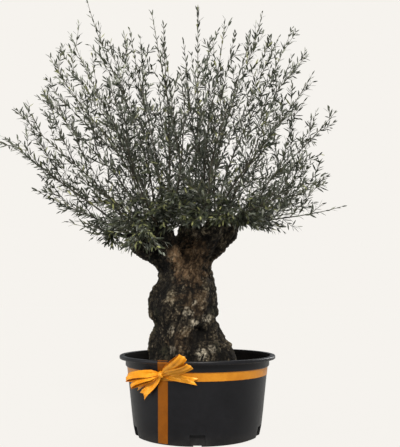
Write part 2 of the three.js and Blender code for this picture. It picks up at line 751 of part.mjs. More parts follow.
// A thin skin over the outside of the wall: a closed profile between two distances from it.
function wallSkin(profile, inner, outer) {
  const inside = profile.map(([radius, height]) => [radius + inner, height]);
  const outside = profile.map(([radius, height]) => [radius + outer, height]).reverse();
  return turned([...outside, ...inside, outside[0]].reverse());
}

// The wall's outside radius at a height below the collar.
function wallRadius(z) {
  const share = (z - POT.middleHeight) / (POT.collarBottom - 2 - POT.middleHeight);
  return THREE.MathUtils.lerp(POT.middleRadius, POT.shoulderRadius, share);
}

// The strip runs up the wall, stands clear of the collar on its way out to the lip, and is tucked in over
// the lip. Its profile goes up the side next to the container and back down the other.
function stripGeometry() {
  const wall = [
    [POT.edgeRadius, POT.edgeHeight], [POT.lowRadius, POT.lowHeight], [POT.middleRadius, POT.middleHeight],
    [wallRadius(BAND.top), BAND.top], [POT.collarRadius + CLEARANCE, POT.collarBottom],
    [POT.lipRadius, POT.lipBottom + 7], [POT.lipRadius, POT.height - 8],
  ];
  const far = CLEARANCE + RIBBON.thickness;
  const beside = (away) => [
    ...wall.map(([radius, height]) => [radius + away, height]),
    [POT.lipRadius - 8 + away / 2, POT.height + away], [POT.mouthRadius - away, POT.height + away],
    [POT.collarRadius - POT.wall - away, POT.mouthBottom + away / 2],
    [POT.collarRadius - POT.wall - away, STRIP.tuckedTo],
  ];
  const [inner, outer] = [beside(CLEARANCE), beside(far).reverse()];
  const skin = turned([...inner, ...outer, inner[0]].reverse());
  const cutter = boxAt(
    [STRIP.width, POT.lipRadius, 2 * POT.height + 20],
    [STRIP.centreX, -POT.lipRadius / 2 - 100, 0],
  );
  return geometryOf(solid(skin).intersect(solid(cutter)));
}

function bandGeometry() {
  const gap = RIBBON.thickness + 2 * CLEARANCE;
  const profile = [[wallRadius(BAND.bottom), BAND.bottom], [wallRadius(BAND.top), BAND.top]];
  return geometryOf(solid(wallSkin(profile, gap, gap + RIBBON.thickness)));
}

// The knot's frame: right along the wall, up, and out of the wall.
const knotTurn = radians(KNOT.turn);
const knotOut = new THREE.Vector3(Math.sin(knotTurn), -Math.cos(knotTurn), 0);
const knotRight = new THREE.Vector3(Math.cos(knotTurn), Math.sin(knotTurn), 0);
const bandOutside = wallRadius(BAND.top) + 2 * (RIBBON.thickness + CLEARANCE);
const knotBack = bandOutside - KNOT.sunk;
const knotCentre = knotOut.clone().multiplyScalar(knotBack + KNOT.depth / 2).addScaledVector(UP, KNOT.z);

// A flat ribbon along a list of centres, each with its width and the direction of that width.
function ribbonAlong(stations) {
  const geometry = new THREE.BoxGeometry(1, 1, 1, 1, 1, stations.length - 1);
  const position = geometry.attributes.position;
  for (let i = 0; i < position.count; i += 1) {
    const index = Math.round((position.getZ(i) + 0.5) * (stations.length - 1));
    const { centre, widthWay, width, ahead } = stations[index];
    const thickWay = widthWay.clone().cross(ahead).normalize();
    const moved = centre.clone()
      .addScaledVector(widthWay, position.getX(i) * width)
      .addScaledVector(thickWay, -position.getY(i) * RIBBON.thickness);
    position.setXYZ(i, moved.x, moved.y, moved.z);
  }
  return geometry;
}

// Adds to each station the way ahead along the ribbon.
function withAhead(stations) {
  return stations.map((station, i) => {
    const before = stations[Math.max(0, i - 1)].centre;
    const after = stations[Math.min(stations.length - 1, i + 1)].centre;
    return { ...station, ahead: after.clone().sub(before).normalize() };
  });
}

// A loop that leaves the knot, turns back at its end and comes in again behind itself.
function loopBody({ right, up, out, bulge }) {
  const reach = knotRight.clone().multiplyScalar(right).addScaledVector(UP, up).addScaledVector(knotOut, out);
  const widthWay = reach.clone().cross(knotOut).normalize();
  const bulgeWay = widthWay.clone().cross(reach).normalize();
  const stations = Array.from({ length: LOOP.steps + 1 }, (_, i) => {
    const turn = (2 * Math.PI * i) / LOOP.steps;
    const along = (1 - Math.cos(turn)) / 2;
    const side = Math.sin(turn) * Math.sin(turn / 2) * bulge * (turn > Math.PI ? LOOP.backBulge : 1);
    const opened = Math.min(1, along / LOOP.fullWidthAt);
    return {
      centre: knotCentre.clone().addScaledVector(reach, along).addScaledVector(bulgeWay, side),
      widthWay,
      width: THREE.MathUtils.lerp(RIBBON.pinchWidth, RIBBON.width, opened),
    };
  });
  return ribbonAlong(withAhead(stations));
}

// A tail that follows the wall, with a V cut in its end.
function tailSolid({ right, up, notch }) {
  const places = Array.from({ length: TAIL.steps + 1 }, (_, i) => {
    const share = i / TAIL.steps;
    const opened = Math.min(1, share / TAIL.fullWidthAt);
    const turn = knotTurn + (right * share) / bandOutside;
    const facing = new THREE.Vector3(Math.sin(turn), -Math.cos(turn), 0);
    const away = THREE.MathUtils.lerp(KNOT.depth / 2, TAIL.away, opened) + TAIL.ripple * Math.sin(9 * share);
    return {
      centre: facing.clone().multiplyScalar(bandOutside + away).addScaledVector(UP, KNOT.z + up * share),
      facing,
      width: THREE.MathUtils.lerp(RIBBON.pinchWidth, RIBBON.width, opened),
    };
  });
  const stations = withAhead(places).map((place) => (
    { ...place, widthWay: place.ahead.clone().cross(place.facing).normalize() }
  ));
  const { centre, ahead, widthWay } = stations[TAIL.steps];
  const corners = [[-notch, 0], [4, -0.4 * RIBBON.width], [4, 0.4 * RIBBON.width]];
  const wedge = new THREE.ExtrudeGeometry(
    new THREE.Shape(corners.map(([x, y]) => new THREE.Vector2(x, y))),
    { depth: 80, bevelEnabled: false },
  ).translate(0, 0, -40);
  wedge.applyMatrix4(new THREE.Matrix4().makeBasis(ahead, widthWay, ahead.clone().cross(widthWay))
    .setPosition(centre));
  return solid(ribbonAlong(stations)).subtract(solid(wedge));
}

// A box in the knot's frame, centred on the knot.
function knotBox(length, height, depth) {
  const frame = new THREE.Matrix4().makeBasis(knotRight, UP, knotOut);
  return new THREE.BoxGeometry(length, height, depth).applyMatrix4(frame.setPosition(knotCentre));
}

// The knot's ring, grown by an amount on every face.
function knotRing(growth) {
  const outer = [KNOT.length, KNOT.height, KNOT.depth].map((size) => size + 2 * growth);
  const inner = [KNOT.height, KNOT.depth].map((size) => size - 2 * KNOT.wall - 2 * growth);
  return solid(knotBox(...outer)).subtract(solid(knotBox(2 * KNOT.length, ...inner)));
}

// The loops and tails meet in a pinched core, which passes through the knot's ring.
function bowGeometry() {
  const room = 2 * (KNOT.wall + CLEARANCE);
  const core = solid(knotBox(KNOT.length, KNOT.height - room, KNOT.depth - room));
  const whole = joined([core, ...LOOPS.map((loop) => solid(loopBody(loop))), ...TAILS.map(tailSolid)]);
  return geometryOf(joined([whole.subtract(knotRing(CLEARANCE))]));
}

const stems = plantBranches();
const olive = new THREE.Group();
olive.add(
  meshOf('pot', potGeometry(), COLOURS.pot),
  meshOf('soil', soilGeometry(), COLOURS.soil),
  meshOf('trunk', trunkGeometry(stems), COLOURS.bark),
  meshOf('ribbon_strip', stripGeometry(), COLOURS.ribbon),
  meshOf('ribbon_band', bandGeometry(), COLOURS.ribbon),
  meshOf('bow', bowGeometry(), COLOURS.ribbon),
  meshOf('bow_knot', geometryOf(knotRing(0)), COLOURS.ribbon),
);
stems.forEach((stem, index) => {
  const name = `leafy_branch_${String(index + 1).padStart(2, '0')}`;
  olive.add(meshOf(name, branchGeometry(stem), COLOURS.foliage));
});

export default olive;
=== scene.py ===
"""An old olive, grown as a garden bonsai in a round black container and tied with a satin ribbon.

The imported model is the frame: every piece keeps the place and the size that its solid has there.
What is added here is the finish: grown bark, potting soil, many thousand leaves, moulded plastic
and folded satin.
"""
import logging
import math
from contextlib import contextmanager
from dataclasses import dataclass, field
from enum import Enum
from typing import Callable, Iterator, Sequence

import bpy
import numpy as np
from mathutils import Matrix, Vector, noise


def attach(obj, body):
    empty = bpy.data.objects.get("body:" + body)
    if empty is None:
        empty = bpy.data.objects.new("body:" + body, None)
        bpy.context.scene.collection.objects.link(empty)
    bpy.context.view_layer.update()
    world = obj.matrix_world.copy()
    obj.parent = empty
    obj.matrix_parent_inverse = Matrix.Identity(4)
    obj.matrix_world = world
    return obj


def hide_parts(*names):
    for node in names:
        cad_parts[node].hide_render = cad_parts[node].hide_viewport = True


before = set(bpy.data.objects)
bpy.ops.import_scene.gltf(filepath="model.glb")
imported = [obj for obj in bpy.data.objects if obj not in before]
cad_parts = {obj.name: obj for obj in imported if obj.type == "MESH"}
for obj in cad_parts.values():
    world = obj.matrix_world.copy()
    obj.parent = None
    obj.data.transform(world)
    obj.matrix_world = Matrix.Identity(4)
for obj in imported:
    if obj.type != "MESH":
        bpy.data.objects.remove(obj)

LOG = logging.getLogger("olive")
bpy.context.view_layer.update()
UP = np.array((0.0, 0.0, 1.0))
RIGHT = np.array((1.0, 0.0, 0.0))
Piece = bpy.types.Object
Material = bpy.types.Material
Output = bpy.types.NodeSocket
Colour = tuple[float, float, float]
Place = tuple[float, float, float]
Profile = list[tuple[float, float]]
Shape = Callable[[float, float], Sequence[float]]
Value = float | Sequence[float] | Output


def unit(vector: np.ndarray) -> np.ndarray:
    """The same direction at length 1, for one vector or for rows of them."""
    return vector / np.maximum(np.linalg.norm(vector, axis=-1, keepdims=True), 1e-9)


def smooth_step(low: float, high: float, value: float) -> float:
    """0 below low, 1 above high, and a smooth rise between them."""
    share = min(1.0, max(0.0, (value - low) / (high - low)))
    return share * share * (3 - 2 * share)


def take(piece: Piece) -> None:
    """Makes a piece the active object and the only selected one."""
    for other in bpy.context.selected_objects:
        other.select_set(False)
    piece.select_set(True)
    bpy.context.view_layer.objects.active = piece


def primitive(name: str, add: Callable[..., set], **sizes: object) -> Piece:
    """Adds one of Blender's primitives and names it.

    Args:
        name: The new object's name.
        add: The operator that adds it.
        **sizes: The operator's own settings.

    Returns:
        The new object, at the origin, with its place in its mesh.
    """
    for other in bpy.context.selected_objects:
        other.select_set(False)
    add(**sizes)
    piece = bpy.context.active_object
    piece.name = name
    piece.data.name = name
    bpy.ops.object.transform_apply(location=True, rotation=True, scale=True)
    return piece


def choose(piece: Piece, wanted: Callable[[Vector], bool]) -> None:
    """Selects the points of a piece whose place passes a test.

    Args:
        piece: The mesh object, in object mode.
        wanted: Says of a place whether it is selected.
    """
    mesh = piece.data
    for group in (mesh.vertices, mesh.edges, mesh.polygons):
        group.foreach_set("select", np.zeros(len(group), dtype=bool))
    mesh.vertices.foreach_set("select", [wanted(point.co) for point in mesh.vertices])


@contextmanager
def edit_mode(piece: Piece, everything: bool = False) -> Iterator[None]:
    """Opens a piece in edit mode, where points are selected, and goes back afterwards.

    Args:
        piece: The mesh object.
        everything: True to select all of it first.

    Yields:
        Nothing: the operators in the block act on the selection.
    """
    take(piece)
    bpy.context.tool_settings.mesh_select_mode = (True, False, False)
    bpy.ops.object.mode_set(mode="EDIT")
    if everything:
        bpy.ops.mesh.select_all(action="SELECT")
    try:
        yield
    finally:
        bpy.ops.object.mode_set(mode="OBJECT")


def apply_modifier(piece: Piece, kind: str, **settings: object) -> None:
    """Adds a modifier to a piece, sets it and applies it.

    Args:
        piece: The object.
        kind: The modifier's type.
        **settings: The modifier's own settings.
    """
    take(piece)
    modifier = piece.modifiers.new(kind.title(), kind)
    for name, value in settings.items():
        setattr(modifier, name, value)
    bpy.ops.object.modifier_apply(modifier=modifier.name)


def close_and_face_out(piece: Piece) -> None:
    """Merges a piece's doubled points and turns its faces outwards."""
    with edit_mode(piece, everything=True):
        bpy.ops.mesh.remove_doubles(threshold=1e-5)
        bpy.ops.mesh.normals_make_consistent(inside=False)


def shade(piece: Piece, angle: float) -> None:
    """Shades a piece smooth, with edges sharper than an angle in degrees left sharp."""
    take(piece)
    bpy.ops.object.shade_smooth_by_angle(angle=math.radians(angle))


def hand_over(piece: Piece, node: str, slot: str, angle: float, *materials: Material) -> None:
    """Shades and dresses a finished piece, gives it its place in the frame and reports it.

    Args:
        piece: The finished piece.
        node: The frame's solid that it stands for.
        slot: Not used.
        angle: Edges sharper than this, in degrees, stay sharp.
        *materials: Its finishes, in the order that its faces number them.
    """
    shade(piece, angle)
    for material in materials:
        piece.data.materials.append(material)
    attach(piece, "root")
    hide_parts(node)
    LOG.info("%s: %d faces", piece.name, len(piece.data.polygons))


def join(pieces: Sequence[Piece]) -> Piece:
    """Joins pieces into the first of them, and returns it."""
    take(pieces[0])
    for other in pieces[1:]:
        other.select_set(True)
    bpy.ops.object.join()
    return pieces[0]


def discard(piece: Piece) -> None:
    """Removes a helper object and its mesh."""
    mesh = piece.data
    bpy.data.objects.remove(piece)
    bpy.data.meshes.remove(mesh)


def cut_out(piece: Piece, cutter: Piece) -> None:
    """Cuts a helper object out of a piece, and removes the helper."""
    apply_modifier(piece, "BOOLEAN", object=cutter, operation="DIFFERENCE", solver="EXACT")
    discard(cutter)


def merged_copy(node: str, name: str) -> Piece:
    """A copy of one of the frame's solids, with its loose triangles merged."""
    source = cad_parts[node]
    piece = bpy.data.objects.new(name, source.data.copy())
    bpy.context.scene.collection.objects.link(piece)
    piece.data.materials.clear()
    with edit_mode(piece, everything=True):
        bpy.ops.mesh.remove_doubles(threshold=2e-5)
    return piece


def places(mesh: bpy.types.Mesh) -> np.ndarray:
    """The places of all of a mesh's points, one in each row."""
    found = np.empty(3 * len(mesh.vertices), dtype=np.float32)
    mesh.vertices.foreach_get("co", found)
    return found.reshape(-1, 3).astype(float)


def put_back(mesh: bpy.types.Mesh, moved: np.ndarray) -> None:
    """Writes the places of all of a mesh's points."""
    mesh.vertices.foreach_set("co", moved.astype(np.float32).ravel())
    mesh.update()


def turned_profile(name: str, profile: Sequence[tuple[float, float]], steps: int) -> Piece:
    """Spins a closed profile round the Z axis.

    Args:
        name: The new object's name.
        profile: Radius and height of each corner, from the axis at the bottom to the axis at the top.
        steps: How many steps the full turn has.

    Returns:
        The closed solid.
    """
    piece = primitive(name, bpy.ops.mesh.primitive_plane_add, size=1.0)
    with edit_mode(piece, everything=True):
        bpy.ops.mesh.delete(type="ONLY_FACE")
    choose(piece, lambda place: place.x > 0 or place.y > 0)
    with edit_mode(piece):
        bpy.ops.mesh.delete(type="VERT")
    piece.data.vertices[0].co = (profile[0][0], 0.0, profile[0][1])
    with edit_mode(piece, everything=True):
        for (before, low), (radius, height) in zip(profile, profile[1:]):
            bpy.ops.mesh.extrude_vertices_move(
                TRANSFORM_OT_translate={"value": (radius - before, 0.0, height - low)}
            )
        bpy.ops.mesh.select_all(action="SELECT")
        bpy.ops.mesh.spin(steps=steps, angle=2 * math.pi, center=(0, 0, 0), axis=(0, 0, 1))
    close_and_face_out(piece)
    return piece


@dataclass
class Gathering:
    """Points and faces that are gathered from many small shapes and then made one mesh."""

    points: list[np.ndarray] = field(default_factory=list)
    corners: list[np.ndarray] = field(default_factory=list)
    sizes: list[np.ndarray] = field(default_factory=list)
    slots: list[np.ndarray] = field(default_factory=list)
    tones: list[np.ndarray] = field(default_factory=list)
    under: list[np.ndarray] = field(default_factory=list)
    total: int = 0

    def add(self, points: np.ndarray, corners: np.ndarray, sizes: np.ndarray, slot: int = 0,
            tone: float | np.ndarray = 0.5, under: float | np.ndarray = 0.0) -> None:
        """Adds one shape, or many alike in one call.

        Args:
            points: One place in each row.
            corners: The point number of each face's corners, one face after the other.
            sizes: How many corners each face has.
            slot: The number of its material.
            tone: A number from 0 to 1 for each face, or one for all.
            under: 1 for each face on the underside of a leaf, or one number for all.
        """
        self.points.append(points)
        self.corners.append(corners + self.total)
        self.sizes.append(sizes)
        self.slots.append(np.full(len(sizes), slot))
        self.tones.append(np.broadcast_to(np.asarray(tone, dtype=float), (len(sizes),)))
        self.under.append(np.broadcast_to(np.asarray(under, dtype=float), (len(sizes),)))
        self.total += len(points)

    def build(self, name: str) -> Piece:
        """Makes the mesh object, with face attributes named tone and underside."""
        mesh = bpy.data.meshes.new(name)
        points = np.concatenate(self.points)
        corners = np.concatenate(self.corners)
        sizes = np.concatenate(self.sizes)
        mesh.vertices.add(len(points))
        mesh.vertices.foreach_set("co", points.astype(np.float32).ravel())
        mesh.loops.add(len(corners))
        mesh.loops.foreach_set("vertex_index", corners.astype(np.int32))
        mesh.polygons.add(len(sizes))
        mesh.polygons.foreach_set("loop_start", (np.cumsum(sizes) - sizes).astype(np.int32))
        mesh.polygons.foreach_set("material_index", np.concatenate(self.slots).astype(np.int32))
        for title, values in (("tone", self.tones), ("underside", self.under)):
            layer = mesh.attributes.new(title, "FLOAT", "FACE")
            layer.data.foreach_set("value", np.concatenate(values).astype(np.float32))
        mesh.update(calc_edges=True)
        mesh.validate()
        piece = bpy.data.objects.new(name, mesh)
        bpy.context.scene.collection.objects.link(piece)
        return piece


def tube(path: np.ndarray, radii: np.ndarray, sides: int) -> tuple[np.ndarray, np.ndarray, np.ndarray]:
    """A closed, tapered tube round a path.

    Args:
        path: Its centres, one in each row.
        radii: Its radius at each centre.
        sides: How many sides it has.

    Returns:
        Its points, its face corners and its face sizes.
    """
    ways = unit(np.gradient(path, axis=0))
    across = unit(np.cross(ways[0], UP if abs(ways[0][2]) < 0.9 else RIGHT))
    turns = 2 * np.pi * np.arange(sides) / sides
    rings = []
    for centre, way, radius in zip(path, ways, radii):
        across = unit(across - way * np.dot(across, way))
        other = np.cross(way, across)
        ring = np.outer(np.cos(turns), across) + np.outer(np.sin(turns), other)
        rings.append(centre + radius * ring)
    steps = len(path)
    low = (np.arange(steps - 1)[:, None] * sides + np.arange(sides)).ravel()
    beside = (np.arange(steps - 1)[:, None] * sides + (np.arange(sides) + 1) % sides).ravel()
    quads = np.stack([low, beside, beside + sides, low + sides], axis=1).ravel()
    ends = np.concatenate([np.arange(sides)[::-1], (steps - 1) * sides + np.arange(sides)])
    sizes = np.concatenate([np.full((steps - 1) * sides, 4), [sides, sides]])
    return np.concatenate(rings), np.concatenate([quads, ends]), sizes


def bezier(corners: Sequence[np.ndarray], shares: np.ndarray) -> np.ndarray:
    """Points of a quadratic or cubic curve at some shares of it."""
    rows = [np.repeat(corner[None, :], len(shares), axis=0) for corner in corners]
    along = shares[:, None]
    while len(rows) > 1:
        rows = [a * (1 - along) + b * along for a, b in zip(rows, rows[1:])]
    return rows[0]


class Graph:
    """A node tree that is built from left to right."""

    MIX_COLOURS = (6, 7)
    MIX_RESULT = 2

    def __init__(self, tree: bpy.types.NodeTree) -> None:
        """Starts with an empty tree.

        Args:
            tree: A material's or a group's node tree.
        """
        self.tree = tree
        tree.nodes.clear()

    def feed(self, socket: Output, value: Value) -> None:
        """Gives an input a plain value, or links another node's output to it."""
        if isinstance(value, Output):
            self.tree.links.new(value, socket)
        else:
            socket.default_value = value

    def node(self, kind: str, inputs: dict[str | int, Value] | None = None,
             **settings: object) -> bpy.types.Node:
        """Adds a node.

        Args:
            kind: The node's type, without the words ShaderNode in front.
            inputs: A value or an output for each input, by name or number.
            **settings: The node's own settings.

        Returns:
            The new node.
        """
        made = self.tree.nodes.new("ShaderNode" + kind if not kind.startswith("Node") else kind)
        for name, value in settings.items():
            setattr(made, name, value)
        for name, value in (inputs or {}).items():
            self.feed(made.inputs[name], value)
        return made

    def math(self, operation: str, first: Value, second: Value = 0.0, clamp: bool = False) -> Output:
        """One step of arithmetic, and its result."""
        made = self.node("Math", {0: first, 1: second}, operation=operation, use_clamp=clamp)
        return made.outputs[0]

    def times(self, first: Value, second: Value, clamp: bool = False) -> Output:
        """Two numbers multiplied, and held between 0 and 1 if clamped."""
        return self.math("MULTIPLY", first, second, clamp)

    def plus(self, first: Value, second: Value, clamp: bool = False) -> Output:
        """Two numbers added, and held between 0 and 1 if clamped."""
        return self.math("ADD", first, second, clamp)

    def mix(self, share: Value, first: Value, second: Value, blend: str = "MIX") -> Output:
        """Two colours mixed, each of them an output or three plain numbers."""
        made = self.node("Mix", data_type="RGBA", blend_type=blend)
        self.feed(made.inputs[0], share)
        for number, colour in zip(self.MIX_COLOURS, (first, second)):
            self.feed(made.inputs[number], (*colour, 1.0) if isinstance(colour, tuple) else colour)
        return made.outputs[self.MIX_RESULT]

    def span(self, value: Value, low: Value, high: Value, to_low: float = 0.0,
             to_high: float = 1.0) -> Output:
        """A value taken from one range to another, and held there."""
        made = self.node("MapRange", {0: value, 1: low, 2: high, 3: to_low, 4: to_high})
        return made.outputs[0]

    def noise(self, place: Value, scale: Value, detail: float = 4.0, rough: float = 0.55) -> Output:
        """Soft noise, from about 0.2 to 0.8."""
        inputs = {"Vector": place, "Scale": scale, "Detail": detail, "Roughness": rough}
        return self.node("TexNoise", inputs).outputs[0]

    def ramp(self, share: Value, stops: Sequence[tuple[float, Colour]]) -> Output:
        """A colour ramp with a colour at each stop."""
        made = self.node("ValToRGB", {0: share})
        elements = made.color_ramp.elements
        while len(elements) < len(stops):
            elements.new(0.5)
        for element, (place, colour) in zip(elements, stops):
            element.position = place
            element.color = (*colour, 1.0)
        return made.outputs[0]

    def attribute(self, name: str, output: str = "Fac") -> Output:
        """A number or vector that the mesh holds for each point or face."""
        return self.node("Attribute", attribute_name=name, attribute_type="GEOMETRY").outputs[output]

    def place(self) -> Output:
        """The place on the piece, in metres."""
        return self.node("TexCoord").outputs["Object"]

    def bump(self, height: Value, strength: float, distance: float,
             under: Value | None = None) -> Output:
        """A normal raised by a height in metres times its distance."""
        inputs: dict[str | int, Value] = {"Height": height, "Strength": strength, "Distance": distance}
        if under is not None:
            inputs["Normal"] = under
        return self.node("Bump", inputs).outputs[0]


class Effects:
    """The effects that several finishes share, each built once as a node group."""

    def __init__(self) -> None:
        """Builds all groups."""
        self.mottle = self._mottle()
        self.grain = self._grain()
        self.wear = self._wear()
        self.dust = self._dust()

    @staticmethod
    def _group(name: str, values: dict[str, float],
               results: Sequence[str]) -> tuple[Graph, dict[str, Output], bpy.types.Node]:
        """Starts a group whose first input is a place.

        Args:
            name: The group's name.
            values: Its other inputs, each with its usual value.
            results: Its outputs.

        Returns:
            Its graph, its inputs by name and its output node.
        """
        graph = Graph(bpy.data.node_groups.new(name, "ShaderNodeTree"))
        sockets = graph.tree.interface
        sockets.new_socket(name="Place", in_out="INPUT", socket_type="NodeSocketVector")
        for title, value in values.items():
            made = sockets.new_socket(name=title, in_out="INPUT", socket_type="NodeSocketFloat")
            made.default_value = value
        for title in results:
            sockets.new_socket(name=title, in_out="OUTPUT", socket_type="NodeSocketFloat")
        entry = graph.node("NodeGroupInput")
        ending = graph.node("NodeGroupOutput")
        return graph, {socket.name: socket for socket in entry.outputs}, ending

    def _mottle(self) -> bpy.types.NodeTree:
        """Patches of two sizes, for colour that varies over a surface."""
        graph, entry, ending = self._group("Mottle", {"Scale": 8.0}, ("Mask", "Fine"))
        broad = graph.noise(entry["Place"], entry["Scale"], 3.0)
        fine = graph.noise(entry["Place"], graph.times(entry["Scale"], 7.0), 5.0, 0.65)
        both = graph.plus(graph.times(broad, 0.65), graph.times(fine, 0.35))
        graph.feed(ending.inputs["Mask"], graph.span(both, 0.36, 0.64))
        graph.feed(ending.inputs["Fine"], graph.span(fine, 0.3, 0.7))
        return graph.tree

    def _grain(self) -> bpy.types.NodeTree:
        """Wood fibres: thin ridges along the place's stretch, broken by cracks."""
        graph, entry, ending = self._group("Grain", {"Scale": 30.0}, ("Height",))
        fibres = graph.noise(entry["Place"], entry["Scale"], 8.0, 0.7)
        ridged = graph.math("ABSOLUTE", graph.math("SUBTRACT", fibres, 0.5))
        plates = graph.node("TexVoronoi", {
            "Vector": entry["Place"], "Scale": graph.times(entry["Scale"], 0.35),
        }, feature="DISTANCE_TO_EDGE").outputs["Distance"]
        cracks = graph.span(plates, 0.0, 0.16, 0.35, 1.0)
        graph.feed(ending.inputs["Height"], graph.times(graph.span(ridged, 0.0, 0.16), cracks))
        return graph.tree

    def _wear(self) -> bpy.types.NodeTree:
        """Where edges stand out and get rubbed."""
        graph, entry, ending = self._group("Edge wear", {"From": 0.52, "To": 0.6}, ("Mask",))
        raised = graph.node("NewGeometry").outputs["Pointiness"]
        edge = graph.span(raised, entry["From"], entry["To"])
        broken = graph.span(graph.noise(entry["Place"], 55.0, 6.0, 0.7), 0.38, 0.62)
        graph.feed(ending.inputs["Mask"], graph.times(edge, broken))
        return graph.tree

    def _dust(self) -> bpy.types.NodeTree:
        """Dust and splashes: on faces that look up, and low on the walls."""
        graph, entry, ending = self._group("Dust", {"Reach": 0.12}, ("Mask",))
        normal = graph.node("NewGeometry").outputs["Normal"]
        facing = graph.span(graph.node("SeparateXYZ", {0: normal}).outputs["Z"], 0.2, 0.95)
        height = graph.node("SeparateXYZ", {0: entry["Place"]}).outputs["Z"]
        share = graph.math("DIVIDE", height, entry["Reach"])
        low = graph.math("SUBTRACT", 1.0, share, clamp=True)
        specks = graph.span(graph.noise(entry["Place"], 130.0, 6.0, 0.75), 0.45, 0.7)
        cloudy = graph.span(graph.noise(entry["Place"], 9.0, 4.0), 0.35, 0.7)
        both = graph.plus(graph.times(facing, 0.7), graph.times(low, low))
        grains = graph.plus(graph.times(specks, 0.5), cloudy)
        graph.feed(ending.inputs["Mask"], graph.times(both, grains, clamp=True))
        return graph.tree


@dataclass(frozen=True)
class Finish:
    """What every finish has: the shared effects, and a way to start its material."""

    effects: Effects

    @staticmethod
    def start(name: str) -> tuple[Material, Graph]:
        """Starts a material, and returns it with its graph."""
        material = bpy.data.materials.new(name)
        material.use_nodes = True
        return material, Graph(material.node_tree)

    @staticmethod
    def surface(graph: Graph, colour: Value, rough: Value, specular: float, normal: Value | None = None,
                **others: Value) -> None:
        """Shows one Principled shader.

        Args:
            graph: The material's graph.
            colour: Its base colour.
            rough: Its roughness.
            specular: How strongly it mirrors.
            normal: Its raised normal, if it has one.
            **others: Its other inputs, with a low line for each space in their names.
        """
        inputs = {"Base Color": colour, "Roughness": rough, "Specular IOR Level": specular}
        if normal is not None:
            inputs["Normal"] = normal
        inputs.update({name.replace("_", " "): value for name, value in others.items()})
        shader = graph.node("BsdfPrincipled", inputs)
        graph.feed(graph.node("OutputMaterial").inputs["Surface"], shader.outputs[0])

    @staticmethod
    def effect(graph: Graph, group: bpy.types.NodeTree, place: Value | None = None,
               **values: Value) -> list[Output]:
        """Places a shared effect in a material.

        Args:
            graph: The material's graph.
            group: The effect.
            place: What its pattern follows, if that isn't the place on the piece.
            **values: Its other inputs.

        Returns:
            Its outputs.
        """
        inputs = {"Place": graph.place() if place is None else place, **values}
        return list(graph.node("Group", inputs, node_tree=group).outputs)


@dataclass(frozen=True)
class MouldedPlastic(Finish):
    """Black polyethylene of the container, a little dusty outside and rubbed at the edges."""

    dark: Colour = (0.0030, 0.0030, 0.0041)
    light: Colour = (0.0062, 0.0062, 0.0080)
    rubbed: Colour = (0.035, 0.035, 0.039)
    dust: Colour = (0.12, 0.105, 0.085)
    cloud_scale: float = 5.0
    skin_scale: float = 420.0
    rubbing: float = 0.6
    dusting: float = 0.16
    splash_height: float = 0.1
    roughness: float = 0.33
    specular: float = 0.26

    def material(self) -> Material:
        """Builds the material."""
        material, graph = self.start("moulded_plastic")
        cloud, fine = self.effect(graph, self.effects.mottle, Scale=self.cloud_scale)
        wear, = self.effect(graph, self.effects.wear, From=0.51, To=0.62)
        dust, = self.effect(graph, self.effects.dust, Reach=self.splash_height)
        body = graph.mix(cloud, self.dark, self.light)
        worn = graph.mix(graph.times(wear, self.rubbing), body, self.rubbed)
        colour = graph.mix(graph.times(dust, self.dusting), worn, self.dust)
        clean = graph.plus(self.roughness, graph.times(fine, 0.10))
        rough = graph.plus(clean, graph.times(dust, 0.25))
        skin = graph.noise(graph.place(), self.skin_scale, 2.0)
        self.surface(graph, colour, rough, self.specular, graph.bump(skin, 0.25, 0.0006))
        return material


@dataclass(frozen=True)
class InsideShadePlastic(Finish):
    """The same plastic inside the container, matt, and painted near black for the shade that falls inside
    it.
    """

    painted_shade_dark: Colour = (0.0008, 0.0007, 0.0007)
    painted_shade_mottle: Colour = (0.0040, 0.0032, 0.0024)
    painted_shade_scale: float = 14.0
    roughness: float = 0.9
    specular: float = 0.05

    def material(self) -> Material:
        """Builds the material."""
        material, graph = self.start("inside_painted_shade")
        cloud, fine = self.effect(graph, self.effects.mottle, Scale=self.painted_shade_scale)
        # Painted shade: two mottled near-black colours stand for the shade inside the container.
        colour = graph.mix(cloud, self.painted_shade_dark, self.painted_shade_mottle)
        self.surface(graph, colour, self.roughness, self.specular, graph.bump(fine, 0.4, 0.001))
        return material


@dataclass(frozen=True)
class PottingSoil(Finish):
    """Dark, crumbly potting soil with lighter fibres."""

    dark: Colour = (0.010, 0.0065, 0.0045)
    brown: Colour = (0.045, 0.028, 0.017)
    fibre: Colour = (0.13, 0.085, 0.05)
    clod_scale: float = 24.0
    crumb_scale: float = 160.0
    fibre_scale: float = 210.0
    roughness: float = 0.95
    specular: float = 0.2

    def material(self) -> Material:
        """Builds the material."""
        material, graph = self.start("potting_soil")
        place = graph.place()
        cloud, fine = self.effect(graph, self.effects.mottle, Scale=self.clod_scale)
        crumb_inputs = {"Vector": place, "Scale": self.crumb_scale}
        crumbs = graph.node("TexVoronoi", crumb_inputs).outputs["Distance"]
        body = graph.mix(cloud, self.dark, self.brown)
        bits = graph.math("GREATER_THAN", graph.noise(place, self.fibre_scale, 3.0), 0.66)
        colour = graph.mix(graph.times(bits, 0.7), body, self.fibre)
        height = graph.plus(graph.times(crumbs, 0.6), fine)
        self.surface(graph, colour, self.roughness, self.specular, graph.bump(height, 0.8, 0.004))
        return material


